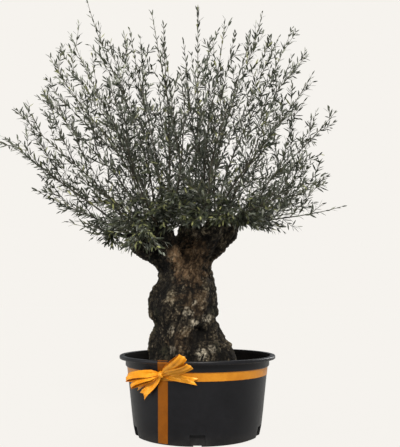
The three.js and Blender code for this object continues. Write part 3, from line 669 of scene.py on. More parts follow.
@dataclass(frozen=True)
class OliveBark(Finish):
    """Old olive bark: near black in its furrows, grey-brown on its ribs, with dry, pale flecks."""

    furrow: Colour = (0.0060, 0.0048, 0.0034)
    brown: Colour = (0.052, 0.040, 0.0245)
    rib: Colour = (0.190, 0.152, 0.096)
    crest: Colour = (0.440, 0.370, 0.255)
    rust: Colour = (0.360, 0.215, 0.110)
    pale: Colour = (0.700, 0.620, 0.470)
    lichen: Colour = (0.085, 0.092, 0.052)
    # Painted shade: the near-black colour that the shade patches darken the bark towards, mostly in the
    # hollows.
    hollow: Colour = (0.0035, 0.0028, 0.0021)
    fibre_scale: float = 75.0
    cloud_scale: float = 11.0
    crumb_scale: float = 85.0
    lichen_scale: float = 7.0
    chip_scale: float = 58.0
    plate_scale: float = 44.0
    upright: Place = (1.0, 1.0, 0.55)
    specular: float = 0.22

    def material(self) -> Material:
        """Builds the material: it reads the trunk's relief, grain, rust, pale and shade attributes."""
        material, graph = self.start("olive_bark")
        place = graph.place()
        grain, = self.effect(graph, self.effects.grain, graph.attribute("grain", "Vector"),
                             Scale=self.fibre_scale)
        cloud, _ = self.effect(graph, self.effects.mottle, Scale=self.cloud_scale)
        crumbly = graph.span(graph.noise(place, self.crumb_scale, 8.0, 0.72), 0.34, 0.68)
        rough = graph.plus(graph.times(grain, 0.45), graph.times(crumbly, 0.55))
        height = graph.plus(graph.times(graph.attribute("relief"), 0.56), graph.times(rough, 0.44))
        raised = graph.times(height, graph.span(cloud, 0.0, 1.0, 0.72, 1.22))
        body = graph.ramp(raised, (
            (0.26, self.furrow), (0.50, self.brown), (0.70, self.rib), (0.92, self.crest),
        ))
        green = graph.span(graph.noise(place, self.lichen_scale, 6.0, 0.65), 0.55, 0.66, 0.0, 0.55)
        mossy = graph.mix(graph.times(green, raised), body, self.lichen)
        rusty = graph.times(graph.attribute("rust"), graph.span(raised, 0.2, 0.75, 0.1, 1.0))
        warm = graph.mix(rusty, mossy, self.rust)
        stretch = graph.node("VectorMath", {0: place, 1: self.upright}, operation="MULTIPLY")
        tall = stretch.outputs[0]
        chips = graph.span(graph.noise(tall, self.chip_scale, 6.0, 0.7), 0.52, 0.58)
        flecks = graph.times(chips, graph.span(raised, 0.34, 0.66))
        flecked = graph.mix(graph.times(flecks, 0.7), warm, self.crest)
        plates = graph.span(graph.noise(tall, self.plate_scale, 5.0, 0.7), 0.40, 0.50)
        bare = graph.times(graph.times(graph.attribute("pale"), plates), graph.span(height, 0.20, 0.50))
        light = graph.mix(bare, flecked, self.pale)
        # Painted shade: where the shade attribute is high, the bark is darkened towards the hollow colour.
        colour = graph.mix(graph.attribute("shade"), light, self.hollow)
        normal = graph.bump(grain, 0.8, 0.005, graph.bump(crumbly, 0.9, 0.010))
        self.surface(graph, colour, graph.span(raised, 0.2, 0.9, 0.95, 0.7), self.specular, normal)
        return material


@dataclass(frozen=True)
class TwigBark(Finish):
    """Young olive bark: smooth, grey-green to grey-brown."""

    grey: Colour = (0.125, 0.120, 0.090)
    brown: Colour = (0.036, 0.030, 0.020)
    cloud_scale: float = 26.0
    roughness: float = 0.8
    specular: float = 0.3

    def material(self) -> Material:
        """Builds the material: it reads each face's tone."""
        material, graph = self.start("twig_bark")
        cloud, fine = self.effect(graph, self.effects.mottle, Scale=self.cloud_scale)
        colour = graph.mix(graph.times(graph.attribute("tone"), cloud), self.brown, self.grey)
        self.surface(graph, colour, self.roughness, self.specular, graph.bump(fine, 0.5, 0.001))
        return material


@dataclass(frozen=True)
class OliveLeaf(Finish):
    """Olive leaves: leathery grey-green above, silvery with fine scales below."""

    deep: Colour = (0.009, 0.012, 0.006)
    green: Colour = (0.042, 0.049, 0.022)
    young: Colour = (0.260, 0.265, 0.105)
    silver: Colour = (0.500, 0.520, 0.440)
    silver_mid: Colour = (0.125, 0.138, 0.105)
    silver_dark: Colour = (0.045, 0.052, 0.036)
    cloud_scale: float = 40.0
    cloudiness: float = 0.16
    roughness: float = 0.42
    under_roughness: float = 0.40
    specular: float = 0.4

    def material(self) -> Material:
        """Builds the material: it reads each face's tone and underside."""
        material, graph = self.start("olive_leaf")
        under = graph.attribute("underside")
        cloud, _ = self.effect(graph, self.effects.mottle, Scale=self.cloud_scale)
        clouds = graph.times(graph.math("SUBTRACT", cloud, 0.5), self.cloudiness)
        tone = graph.plus(graph.attribute("tone"), clouds, clamp=True)
        top = graph.ramp(tone, ((0.0, self.deep), (0.55, self.green), (1.0, self.young)))
        below = graph.ramp(tone, ((0.0, self.silver_dark), (0.5, self.silver_mid), (1.0, self.silver)))
        rough = graph.plus(self.roughness, graph.times(under, self.under_roughness))
        self.surface(graph, graph.mix(under, top, below), rough, self.specular)
        return material


class RibbonPaintedLight(Enum):
    """The same satin in lit and shaded copies: painted shade makes it deeper where it runs down the wall,
    and painted light makes it brightest in the bow.

    Each tone has a name, its deep and its bright colour, and how strongly it mirrors.
    """

    # The strip's colours are painted shade; the bow's brighter colours and stronger mirroring are a painted
    # highlight.
    STRIP = ("strip", (0.176, 0.046, 0.0010), (0.232, 0.065, 0.0017), 0.5)
    BAND = ("band", (0.480, 0.165, 0.010), (0.600, 0.235, 0.018), 0.5)
    BOW = ("bow", (0.640, 0.225, 0.006), (0.880, 0.370, 0.022), 0.7)


@dataclass(frozen=True)
class SatinRibbon(Finish):
    """Orange satin with fine cross threads and a firmer selvedge along both edges."""

    threads: float = 46.0
    selvedge: float = 0.035
    cloud_scale: float = 16.0
    roughness: float = 0.30
    sheen_tint: Colour = (1.0, 0.74, 0.34)

    def material(self, tone: RibbonPaintedLight) -> Material:
        """Builds the material from the ribbon's own map, whose first number runs across it.

        Args:
            tone: Which of the ribbon's pieces it is for, with that piece's painted light or shade.

        Returns:
            The material.
        """
        title, deep, bright, specular = tone.value
        material, graph = self.start("satin_painted_light_" + title)
        cloth = graph.node("UVMap", uv_map="UVMap").outputs[0]
        across, along = (graph.node("SeparateXYZ", {0: cloth}).outputs[axis] for axis in ("X", "Y"))
        pitch = self.threads * 2 * math.pi
        warp, weft = (graph.math("SINE", graph.times(way, pitch)) for way in (across, along))
        edge = graph.math("MINIMUM", across, graph.math("SUBTRACT", 1.0, across))
        firm = graph.span(edge, 0.0, self.selvedge, 1.0, 0.0)
        cloud, fine = self.effect(graph, self.effects.mottle, Scale=self.cloud_scale)
        body = graph.mix(cloud, deep, bright)
        threaded = graph.mix(graph.span(weft, -1.0, 1.0, 0.0, 0.12), body, deep)
        colour = graph.mix(graph.times(firm, 0.45), threaded, deep, "MULTIPLY")
        rough = graph.plus(self.roughness, graph.times(fine, 0.08))
        height = graph.plus(graph.times(graph.plus(warp, weft), 0.25), firm)
        self.surface(graph, colour, rough, specular, graph.bump(height, 0.35, 0.0003),
                     Specular_Tint=(*self.sheen_tint, 1.0))
        return material


@dataclass(frozen=True)
class Sun:
    """A far, soft light: where it shines from, its width in degrees, its power and its colour."""

    name: str
    place: Place
    angle: float
    power: float
    colour: Colour


@dataclass
class Studio:
    """The camera of the photograph, a pale floor and sky, and soft lights."""

    distance: float = 4.42
    eye_height: float = 0.893
    focal_pixels: float = 644.3
    long_side_pixels: float = 447.0
    sensor: float = 36.0
    pitch: float = 6.64
    turn: float = -0.222
    far: float = 200.0
    backdrop: Colour = (0.922, 0.896, 0.855)
    ambient: Colour = (0.40, 0.42, 0.44)
    floor_colour: Colour = (0.5, 0.495, 0.48)
    floor_size: float = 120.0
    floor_glow: float = 1.0174
    floor_evenness: float = 0.95
    target: Place = (0.0, 0.0, 1.1)
    suns: tuple[Sun, ...] = (
        Sun("key_light", (0.4, -4.5, 4.3), 12.0, 3.6, (1.0, 0.965, 0.91)),
        Sun("left_light", (-4.6, -2.0, 1.7), 40.0, 1.1, (0.97, 0.98, 1.0)),
        Sun("back_light", (3.2, 3.2, 2.6), 30.0, 1.2, (1.0, 0.99, 0.98)),
    )

    def set_up(self) -> None:
        """Makes the camera, then the floor, the sky and the lights."""
        self._camera()
        self._floor()
        self._sky()
        for sun in self.suns:
            self._light(sun)
        settings = bpy.context.scene.view_settings
        settings.view_transform = "Standard"
        settings.look = "None"

    def _camera(self) -> None:
        """The photograph's view: low, looking up a little, with the container left of the middle."""
        data = bpy.data.cameras.new("camera")
        data.sensor_width = self.sensor
        data.lens = self.focal_pixels / self.long_side_pixels * self.sensor
        data.clip_end = self.far
        camera = bpy.data.objects.new("camera", data)
        camera.location = (0.0, -self.distance, self.eye_height)
        camera.rotation_euler = (math.radians(90.0 + self.pitch), 0.0, math.radians(self.turn))
        bpy.context.scene.collection.objects.link(camera)
        bpy.context.scene.camera = camera

    def _floor(self) -> None:
        """A wide floor that isn't part of the object: the camera sees it as pale as the backdrop."""
        floor = primitive("studio_floor", bpy.ops.mesh.primitive_plane_add, size=self.floor_size)
        material = bpy.data.materials.new("studio_floor")
        material.use_nodes = True
        graph = Graph(material.node_tree)
        matt = graph.node("BsdfDiffuse", {"Color": (*self.floor_colour, 1.0)})
        even = graph.node("Emission", {"Color": (*self.backdrop, 1.0), "Strength": self.floor_glow})
        camera_ray = graph.node("LightPath").outputs["Is Camera Ray"]
        seen = graph.times(camera_ray, self.floor_evenness)
        both = graph.node("MixShader", {0: seen, 1: matt.outputs[0], 2: even.outputs[0]})
        graph.feed(graph.node("OutputMaterial").inputs["Surface"], both.outputs[0])
        floor.data.materials.append(material)

    def _sky(self) -> None:
        """An even pale backdrop for the camera, and a dimmer light from all sides for the object."""
        world = bpy.data.worlds.new("studio_sky")
        world.use_nodes = True
        graph = Graph(world.node_tree)
        light = graph.node("Background", {"Color": (*self.ambient, 1.0)})
        shown = graph.node("Background", {"Color": (*self.backdrop, 1.0)})
        seen = graph.node("LightPath").outputs["Is Camera Ray"]
        both = graph.node("MixShader", {0: seen, 1: light.outputs[0], 2: shown.outputs[0]})
        graph.feed(graph.node("OutputWorld").inputs["Surface"], both.outputs[0])
        bpy.context.scene.world = world

    def _light(self, sun: Sun) -> None:
        """Adds a light that shines at the middle of the tree."""
        data = bpy.data.lights.new(sun.name, "SUN")
        data.angle = math.radians(sun.angle)
        data.energy = sun.power
        data.color = sun.colour
        light = bpy.data.objects.new(sun.name, data)
        light.location = sun.place
        way = Vector(self.target) - Vector(sun.place)
        light.rotation_euler = way.to_track_quat("-Z", "Y").to_euler()
        bpy.context.scene.collection.objects.link(light)


@dataclass
class Container:
    """The moulded tub, with its rolled lip, collar, drained floor and five foot notches."""

    effects: Effects
    height: float = 0.520
    lip_radius: float = 0.522
    lip_bottom: float = 0.497
    lip_rounding: float = 0.008
    lip_under_rounding: float = 0.007
    mouth_radius: float = 0.489
    mouth_bottom: float = 0.501
    collar_radius: float = 0.481
    collar_bottom: float = 0.451
    shoulder_radius: float = 0.469
    middle_radius: float = 0.436
    middle_height: float = 0.154
    low_radius: float = 0.425
    low_height: float = 0.069
    base_radius: float = 0.393
    edge_radius: float = 0.412
    edge_height: float = 0.012
    wall: float = 0.0075
    wall_rings: tuple[float, float] = (0.25, 0.35)
    floor_top: float = 0.024
    inner_step: tuple[float, float] = (0.440, 0.458)
    notch_width: float = 0.096
    notch_height: float = 0.076
    notch_back: float = 0.392
    notch_frame: float = 0.009
    pocket_reach: float = 0.46
    notch_reach: float = 0.53
    notches: int = 5
    channel_start: float = 0.120
    channel_end: float = 0.400
    channel_width: float = 0.050
    channel_depth: float = 0.008
    hole_radius: float = 0.018
    hole_at: float = 0.25
    steps: int = 120

    def wall_radius(self, z: float) -> float:
        """The wall's outside radius at a height, from the base edge up to the lip."""
        heights = (self.edge_height, self.low_height, self.middle_height, self.collar_bottom - 0.006,
                   self.collar_bottom + 0.004, self.lip_bottom)
        radii = (self.edge_radius, self.low_radius, self.middle_radius, self.shoulder_radius,
                 self.collar_radius, self.collar_radius)
        return float(np.interp(z, heights, radii))

    def _outside(self) -> Profile:
        """The outside profile, from the middle of the base up over the lip to the mouth."""
        lip, under = self.lip_rounding, self.lip_under_rounding
        lip_turn = [
            (self.lip_radius - lip + lip * math.cos(a), self.height - lip + lip * math.sin(a))
            for a in np.linspace(0.0, math.pi / 2, 5)
        ]
        under_turn = [
            (self.lip_radius - under + under * math.sin(a),
             self.lip_bottom + under - under * math.cos(a))
            for a in np.linspace(0.0, math.pi / 2, 4)
        ]
        return [
            (0.0, 0.0), (self.base_radius * 0.5, 0.0), (self.base_radius - 0.006, 0.0),
            (self.base_radius, 0.0015), (self.edge_radius - 0.003, self.edge_height - 0.004),
            (self.edge_radius, self.edge_height), (self.low_radius, self.low_height),
            (self.middle_radius, self.middle_height),
            *((self.wall_radius(z), z) for z in self.wall_rings),
            (self.shoulder_radius - 0.0005, self.collar_bottom - 0.010),
            (self.shoulder_radius, self.collar_bottom - 0.006),
            (self.collar_radius - 0.002, self.collar_bottom + 0.002),
            (self.collar_radius, self.collar_bottom + 0.006),
            (self.collar_radius, self.lip_bottom - 0.004),
            (self.collar_radius + 0.002, self.lip_bottom),
            *under_turn, *lip_turn,
            (self.mouth_radius + 0.008, self.height), (self.mouth_radius + 0.003, self.height - 0.001),
        ]

    def _room(self) -> Profile:
        """The profile of the room inside, from the middle of the floor up past the mouth."""
        inner = self.collar_radius - self.wall
        step_start, step_end = self.inner_step
        past = self.height + 0.02
        return [
            (0.0, self.floor_top), (self.edge_radius - 0.010, self.floor_top),
            (self.edge_radius, self.floor_top + 0.016),
            (self.middle_radius - self.wall, self.middle_height),
            (self.shoulder_radius - self.wall, step_start), (inner, step_end),
            (inner, self.mouth_bottom - 0.003), (inner + 0.003, self.mouth_bottom + 0.003),
            (self.mouth_radius - 0.003, self.height - 0.008),
            (self.mouth_radius + 0.002, self.height - 0.002), (self.mouth_radius + 0.003, past),
            (0.0, past),
        ]

    def _turns(self) -> list[float]:
        """Where the notches are round the axis, the first at the front."""
        return [2 * math.pi * index / self.notches - math.pi / 2 for index in range(self.notches)]

    def _boxes(self, name: str, low: Place, high: Place) -> Piece:
        """A box that is modelled on the right and stood at every notch, as one helper.

        Args:
            name: The helper's name.
            low: Its lowest corner.
            high: Its highest corner.

        Returns:
            The joined helper.
        """
        made = []
        low, high = Vector(low), Vector(high)
        for turn in self._turns():
            box = primitive(name, bpy.ops.mesh.primitive_cube_add, size=1.0)
            with edit_mode(box, everything=True):
                bpy.ops.transform.resize(value=tuple(high - low), center_override=(0, 0, 0))
                bpy.ops.transform.translate(value=tuple((low + high) / 2))
            box.rotation_euler = (0.0, 0.0, turn)
            take(box)
            bpy.ops.object.transform_apply(rotation=True)
            made.append(box)
        return join(made)

    def _hollow_out(self, piece: Piece) -> None:
        """Cuts the room, the notches, the channels and the drain holes out of the turned tub."""
        half, frame_half = self.notch_width / 2, self.notch_width / 2 + self.notch_frame
        room = turned_profile("room", self._room(), self.steps)
        cut_out(room, self._boxes(
            "pocket", (self.notch_back - self.notch_frame, -frame_half, -0.01),
            (self.pocket_reach, frame_half, self.notch_height + self.notch_frame)))
        cut_out(piece, room)
        cut_out(piece, self._boxes(
            "notch", (self.notch_back, -half, -0.02), (self.notch_reach, half, self.notch_height)))
        side = self.channel_width / 2
        cut_out(piece, self._boxes(
            "channel", (self.channel_start, -side, -0.01),
            (self.channel_end, side, self.channel_depth)))
        for turn in self._turns():
            middle = (self.hole_at * math.cos(turn), self.hole_at * math.sin(turn), 0.02)
            cut_out(piece, primitive("hole", bpy.ops.mesh.primitive_cylinder_add, vertices=24,
                                     radius=self.hole_radius, depth=0.08, location=middle))

    def build(self) -> None:
        """Models the container and dresses it."""
        piece = turned_profile("container", [*self._outside(), (0.0, self.height)], self.steps)
        self._hollow_out(piece)
        close_and_face_out(piece)
        apply_modifier(piece, "BEVEL", width=0.0012, segments=2, limit_method="ANGLE",
                       angle_limit=math.radians(50), miter_outer="MITER_ARC")
        hand_over(piece, "pot", "container", 40.0, MouldedPlastic(self.effects).material(),
                  InsideShadePlastic(self.effects).material())
        # Painted shade: faces that look inwards, between the floor and the lip, get the near-black inside
        # finish.
        for face in piece.data.polygons:
            inward = face.normal.x * face.center.x + face.normal.y * face.center.y < -0.05
            face.material_index = int(inward and self.floor_top < face.center.z < self.height - 0.005)


@dataclass
class Soil:
    """Potting soil in the container, crumbly on top, with the trunk standing in it."""

    effects: Effects
    container: Container
    edge_height: float = 0.424
    mound_height: float = 0.437
    mound_radii: tuple[float, float] = (0.30, 0.44)
    foot_radius: float = 0.382
    foot_height: float = 0.086
    gap: float = 0.0004
    inner_step: float = 0.450
    rings: int = 34
    steps: int = 128
    lump_scale: float = 34.0
    lump_height: float = 0.0045
    still_radii: tuple[float, float] = (0.42, 0.452)
    crumbs: int = 1500
    crumb_reach: float = 0.448
    crumb_size: tuple[float, float] = (0.0022, 0.0062)
    chip_share: float = 0.12
    chip_size: tuple[float, float] = (0.007, 0.013)
    seed: int = 5

    def _profile(self) -> Profile:
        """The soil's profile, with many rings on its top."""
        tub = self.container
        inner = tub.middle_radius - tub.wall - self.gap
        top_radius = self._room_radius(self.edge_height) - self.gap
        rim = [(radius, self._top(radius)) for radius in np.linspace(top_radius, 0.02, self.rings)]
        low = tub.floor_top + self.gap
        return [
            (0.0, low), (self.foot_radius, low), (self.foot_radius, self.foot_height),
            (tub.low_radius - tub.wall - self.gap, self.foot_height), (inner, tub.middle_height), *rim,
            (0.0, self.mound_height),
        ]

    def _room_radius(self, z: float) -> float:
        """The radius of the room inside the container, above the middle of its wall."""
        tub = self.container
        share = (z - tub.middle_height) / (self.inner_step - tub.middle_height)
        return tub.middle_radius + share * (tub.shoulder_radius - tub.middle_radius) - tub.wall

    def _top(self, radius: float) -> float:
        """The height of the soil's smooth top at a distance from the axis."""
        rise = self.mound_height - self.edge_height
        return self.edge_height + rise * (1 - smooth_step(*self.mound_radii, radius))

    def build(self, trunk: Piece) -> None:
        """Models the soil round the finished trunk and dresses it."""
        piece = turned_profile("soil_fill", self._profile(), self.steps)
        moved = places(piece.data)
        for row, (x, y, z) in enumerate(moved):
            if z > self.edge_height - 0.003:
                rough = noise.fractal(Vector((x, y, 0.0)) * self.lump_scale, 1.0, 2.0, 5)
                rim = 1 - smooth_step(*self.still_radii, math.hypot(x, y))
                moved[row][2] = z + self.lump_height * rough * (0.3 + 0.7 * rim)
        put_back(piece.data, moved)
        apply_modifier(piece, "BOOLEAN", object=trunk, operation="DIFFERENCE", solver="MANIFOLD")
        piece = join([piece, self._crumbs()])
        piece.data.materials.clear()
        hand_over(piece, "soil", "soil", 60.0, PottingSoil(self.effects).material())

    def _crumbs(self) -> Piece:
        """Loose crumbs and bark chips, bedded in the top."""
        chip = primitive("chip", bpy.ops.mesh.primitive_ico_sphere_add, subdivisions=1, radius=1.0)
        corners = np.array([face.vertices[:] for face in chip.data.polygons]).ravel()
        sizes = np.full(len(chip.data.polygons), 3)
        form = places(chip.data)
        discard(chip)
        draw = np.random.default_rng(self.seed)
        gathering = Gathering()
        for _ in range(self.crumbs):
            radius = self.crumb_reach * math.sqrt(draw.uniform(0.40, 1.0))
            turn = draw.uniform(0.0, 2 * math.pi)
            size = draw.uniform(*self.crumb_size)
            stretch = np.array((1.0, draw.uniform(0.5, 1.0), draw.uniform(0.35, 0.7)))
            if draw.random() < self.chip_share:
                size = draw.uniform(*self.chip_size)
                stretch = np.array((1.0, draw.uniform(0.3, 0.5), 0.22))
            lumpy = form * (1 + draw.uniform(-0.2, 0.2, (len(form), 1))) * stretch * size
            spin = draw.uniform(0.0, 2 * math.pi)
            cos, sin = math.cos(spin), math.sin(spin)
            lumpy = lumpy @ np.array(((cos, sin, 0.0), (-sin, cos, 0.0), (0.0, 0.0, 1.0)))
            height = self._top(radius) + 0.25 * size
            foot = np.array((radius * math.cos(turn), radius * math.sin(turn), height))
            gathering.add(lumpy + foot, corners, sizes)
        return gathering.build("crumbs")


@dataclass(frozen=True)
class Patch:
    """A place on the bark with a look of its own."""

    centre: Place
    radius: float
    strength: float = 1.0


@dataclass(frozen=True)
class Hollow:
    """A place where the wood is sunk in, with a raised rim where a limb once stood."""

    centre: Place
    radius: float
    depth: float
    rim: float = 0.0


@dataclass(frozen=True)
class Relief:
    """One kind of relief in the wood: how fine it is, how far it stands out and how light it looks."""

    scale: float
    out: float
    level: float


@dataclass
class Trunk:
    """The old trunk: roped and furrowed wood under cracked bark, with its sawn-back limbs."""

    effects: Effects
    voxel: float = 0.0063
    smoothing: int = 48
    axis: tuple[float, float] = (-0.085, 0.0)
    crown_start: float = 1.0
    fan: float = 1.9
    twist: float = 1.1
    twist_start: float = 0.4
    soil_height: float = 0.437
    depth_share: float = 0.3
    stub_length: float = 0.075
    ropes: Relief = Relief(9.0, 0.009, 0.18)
    furrows: Relief = Relief(20.0, 0.010, 0.30)
    burls: Relief = Relief(9.5, 0.024, 0.5)
    lumps: Relief = Relief(21.0, 0.011, 0.42)
    plates: Relief = Relief(36.0, 0.0045, 0.24)
    crumbs: Relief = Relief(75.0, 0.0028, 0.30)
    middle_level: float = 0.42
    pale: tuple[Patch, ...] = (
        Patch((0.068, -0.22, 0.768), 0.030), Patch((-0.016, -0.22, 0.730), 0.026),
        Patch((-0.061, -0.22, 0.807), 0.030, 0.8), Patch((-0.171, -0.21, 0.691), 0.022, 0.6),
        Patch((-0.164, -0.22, 0.571), 0.022, 0.5), Patch((0.029, -0.24, 0.534), 0.034, 0.9),
        Patch((0.093, -0.20, 0.571), 0.026, 0.6), Patch((-0.020, -0.2, 0.866), 0.018, 0.7),
        Patch((0.12, 0.14, 0.72), 0.040, 0.7), Patch((-0.25, 0.10, 0.85), 0.035, 0.6),
        Patch((-0.10, 0.2, 0.60), 0.035, 0.7),
    )
    rusty: tuple[Patch, ...] = (
        Patch((-0.045, -0.19, 1.160), 0.120), Patch((-0.12, -0.18, 1.21), 0.075, 0.9),
        Patch((-0.03, -0.2, 1.06), 0.085, 0.7), Patch((0.0, 0.18, 1.12), 0.10, 0.6),
        Patch((-0.10, -0.22, 0.62), 0.075, 0.35), Patch((-0.02, -0.22, 0.87), 0.09, 0.3),
    )
    # Painted shade: patches, mostly in the hollows, where the bark colour is darkened to near black.
    shaded: tuple[Patch, ...] = (
        Patch((0.020, -0.19, 0.655), 0.060, 0.9), Patch((-0.045, -0.20, 0.610), 0.045, 0.8),
        Patch((-0.235, -0.1, 0.985), 0.075, 0.5), Patch((-0.255, -0.12, 1.12), 0.08, 0.5),
        Patch((0.035, -0.19, 0.46), 0.03, 0.8), Patch((-0.24, -0.15, 1.24), 0.08, 0.45),
        Patch((0.085, -0.16, 0.83), 0.04, 0.6), Patch((0.07, -0.16, 1.24), 0.07, 0.6),
    )
    hollows: tuple[Hollow, ...] = (
        Hollow((-0.165, -0.020, 1.325), 0.105, -0.034), Hollow((0.022, -0.190, 0.655), 0.062, 0.034),
        Hollow((-0.045, -0.205, 0.605), 0.045, 0.020),
        Hollow((0.093, -0.190, 0.571), 0.030, 0.014, 0.010),
        Hollow((-0.235, -0.110, 1.000), 0.080, 0.022), Hollow((0.085, -0.155, 0.835), 0.045, 0.016),
        Hollow((-0.150, -0.190, 0.890), 0.028, 0.010, 0.008),
        Hollow((0.030, -0.175, 1.270), 0.070, 0.026), Hollow((-0.215, -0.130, 1.220), 0.070, 0.024),
        Hollow((0.120, 0.150, 0.760), 0.055, 0.024, 0.008),
        Hollow((-0.230, 0.110, 0.900), 0.050, 0.018, 0.008),
        Hollow((-0.060, 0.200, 1.150), 0.070, 0.026), Hollow((-0.080, 0.210, 0.560), 0.045, 0.020),
    )

    def build(self, stubs: Sequence["BranchStart"]) -> Piece:
        """Models the trunk from the frame's solid and dresses it.

        Args:
            stubs: Where the live stubs end, which keep their shape.

        Returns:
            The trunk.
        """
        piece = merged_copy("trunk", "old_trunk")
        apply_modifier(piece, "REMESH", mode="VOXEL", voxel_size=self.voxel)
        self._smooth(piece, stubs)
        self._grow_relief(piece, stubs)
        self._remember(piece)
        hand_over(piece, "trunk", "bark", 80.0, OliveBark(self.effects).material())
        return piece

    def _calm(self, moved: np.ndarray, stubs: Sequence["BranchStart"]) -> np.ndarray:
        """For each point, 0 at a live stub and 1 away from all of them."""
        free = np.ones(len(moved))
        size = self.stub_length
        for stub in stubs:
            low = stub.place - size * stub.way
            along = np.clip((moved - low) @ stub.way / size, 0.0, 1.0)
            away = np.linalg.norm(moved - low - size * along[:, None] * stub.way, axis=1)
            free = np.minimum(free, np.clip((away - 0.022) / 0.03, 0.0, 1.0))
        return free

    def _smooth(self, piece: Piece, stubs: Sequence["BranchStart"]) -> None:
        """Rounds off the solid's flat facets, all but its stubs and what is under the soil."""
        free = self._calm(places(piece.data), stubs)
        group = piece.vertex_groups.new(name="free")
        for row, weight in enumerate(free):
            if weight > 0.01:
                group.add([row], float(weight), "REPLACE")
        apply_modifier(piece, "SMOOTH", factor=0.55, iterations=self.smoothing, vertex_group="free")
        piece.vertex_groups.clear()

    def _grain_place(self, place: np.ndarray) -> Vector:
        """The place in the wood's own frame, where the grain runs along the third number.

        The grain is upright in the trunk, turns slowly round it, and fans out into the limbs.
        """
        x, y, z = place
        spread = 1.0 + self.fan * max(0.0, z - self.crown_start)
        turn = self.twist * (z - self.twist_start)
        cos, sin = math.cos(turn), math.sin(turn)
        u, v = (x - self.axis[0]) / spread, (y - self.axis[1]) / spread
        return Vector((u * cos + v * sin, v * cos - u * sin, 0.17 * z))

    def _relief(self, place: np.ndarray) -> tuple[float, float]:
        """How far the wood stands out at a place, and how high it is there between furrow and crest.

        Args:
            place: A point of the smooth trunk.

        Returns:
            The distance outwards in metres, and a level from 0 to 1.
        """
        wood, here = self._grain_place(place), Vector(place)
        ropes = noise.noise(wood * self.ropes.scale)
        cracks = abs(noise.noise(wood * self.furrows.scale + Vector((3.1, 0.0, 5.0))))
        furrows = max(0.0, 1.0 - cracks * 3.4)
        burls = max(0.0, noise.noise(here * self.burls.scale + Vector((7.0, 2.0, 0.0))) - 0.02)
        lumps = 0.30 - abs(noise.noise(here * self.lumps.scale + Vector((0.0, 4.0, 9.0))))
        size = self.plates.scale
        gaps, _ = noise.voronoi(Vector((here.x * size, here.y * size, here.z * 21.0)))
        plates = smooth_step(0.02, 0.26, gaps[1] - gaps[0])
        fine = noise.fractal(here * self.crumbs.scale, 0.8, 2.1, 4)
        out = (self.ropes.out * ropes - self.furrows.out * furrows + self.burls.out * burls
               - self.lumps.out * lumps + self.plates.out * plates + self.crumbs.out * fine)
        level = (self.middle_level + self.ropes.level * ropes - self.furrows.level * furrows
                 + self.burls.level * burls - self.lumps.level * lumps
                 + self.plates.level * (plates - 0.5))
        out += sum(self._sunk(place, hollow) for hollow in self.hollows)
        return out, min(1.0, max(0.0, level + self.crumbs.level * fine))

    def _sunk(self, place: np.ndarray, hollow: Hollow) -> float:
        """How far a hollow and its rim move a place: inwards below zero."""
        away = self._reach(place, hollow.centre) / hollow.radius
        away += 0.25 * noise.noise(Vector(place) * 22.0)
        rim = math.exp(-((away - 1.15) / 0.28) ** 2)
        return hollow.rim * rim - hollow.depth * (1 - smooth_step(0.15, 1.05, away))

    def _grow_relief(self, piece: Piece, stubs: Sequence["BranchStart"]) -> None:
        """Moves the surface out and in along its normals, and stores its level for the finish."""
        mesh = piece.data
        moved = places(mesh)
        free = self._calm(moved, stubs)
        normals = np.empty(3 * len(mesh.vertices), dtype=np.float32)
        mesh.vertices.foreach_get("normal", normals)
        normals = normals.reshape(-1, 3)
        levels = np.zeros(len(moved), dtype=np.float32)
        for row, place in enumerate(moved):
            above = smooth_step(self.soil_height - 0.06, self.soil_height + 0.02, place[2])
            share = (0.12 + 0.88 * free[row]) * (0.15 + 0.85 * above)
            out, levels[row] = self._relief(place)
            moved[row] = place + normals[row] * (share * out)
        put_back(mesh, moved)
        mesh.attributes.new("relief", "FLOAT", "POINT").data.foreach_set("value", levels)

    def _reach(self, place: np.ndarray, centre: Place) -> float:
        """How far a place is from a centre: depth counts for less, because the wood is round."""
        x, y, z = (place[axis] - centre[axis] for axis in range(3))
        return math.sqrt(x * x + z * z + (y * self.depth_share) ** 2)

    def _near(self, place: np.ndarray, patches: Sequence[Patch]) -> float:
        """How much of the nearest patch's look a place has, with a broken outline."""
        wander = 0.8 * noise.noise(Vector(place) * 26.0) + 0.5 * noise.noise(Vector(place) * 70.0)
        found = 0.0
        for patch in patches:
            away = self._reach(place, patch.centre) / patch.radius + wander
            found = max(found, patch.strength * (1 - smooth_step(0.75, 1.25, away)))
        return found

    def _remember(self, piece: Piece) -> None:
        """Stores the grain's place and the three kinds of patches for the finish."""
        mesh = piece.data
        rows = places(mesh)
        grain = np.array([self._grain_place(place)[:] for place in rows])
        layer = mesh.attributes.new("grain", "FLOAT_VECTOR", "POINT")
        layer.data.foreach_set("vector", grain.astype(np.float32).ravel())
        for title, patches in (("pale", self.pale), ("rust", self.rusty), ("shade", self.shaded)):
            values = np.array([self._near(place, patches) for place in rows], dtype=np.float32)
            mesh.attributes.new(title, "FLOAT", "POINT").data.foreach_set("value", values)


@dataclass(frozen=True)
class BranchStart:
    """Where a leafy branch stands on its stub, and the way that it sets out."""

    place: np.ndarray
    way: np.ndarray


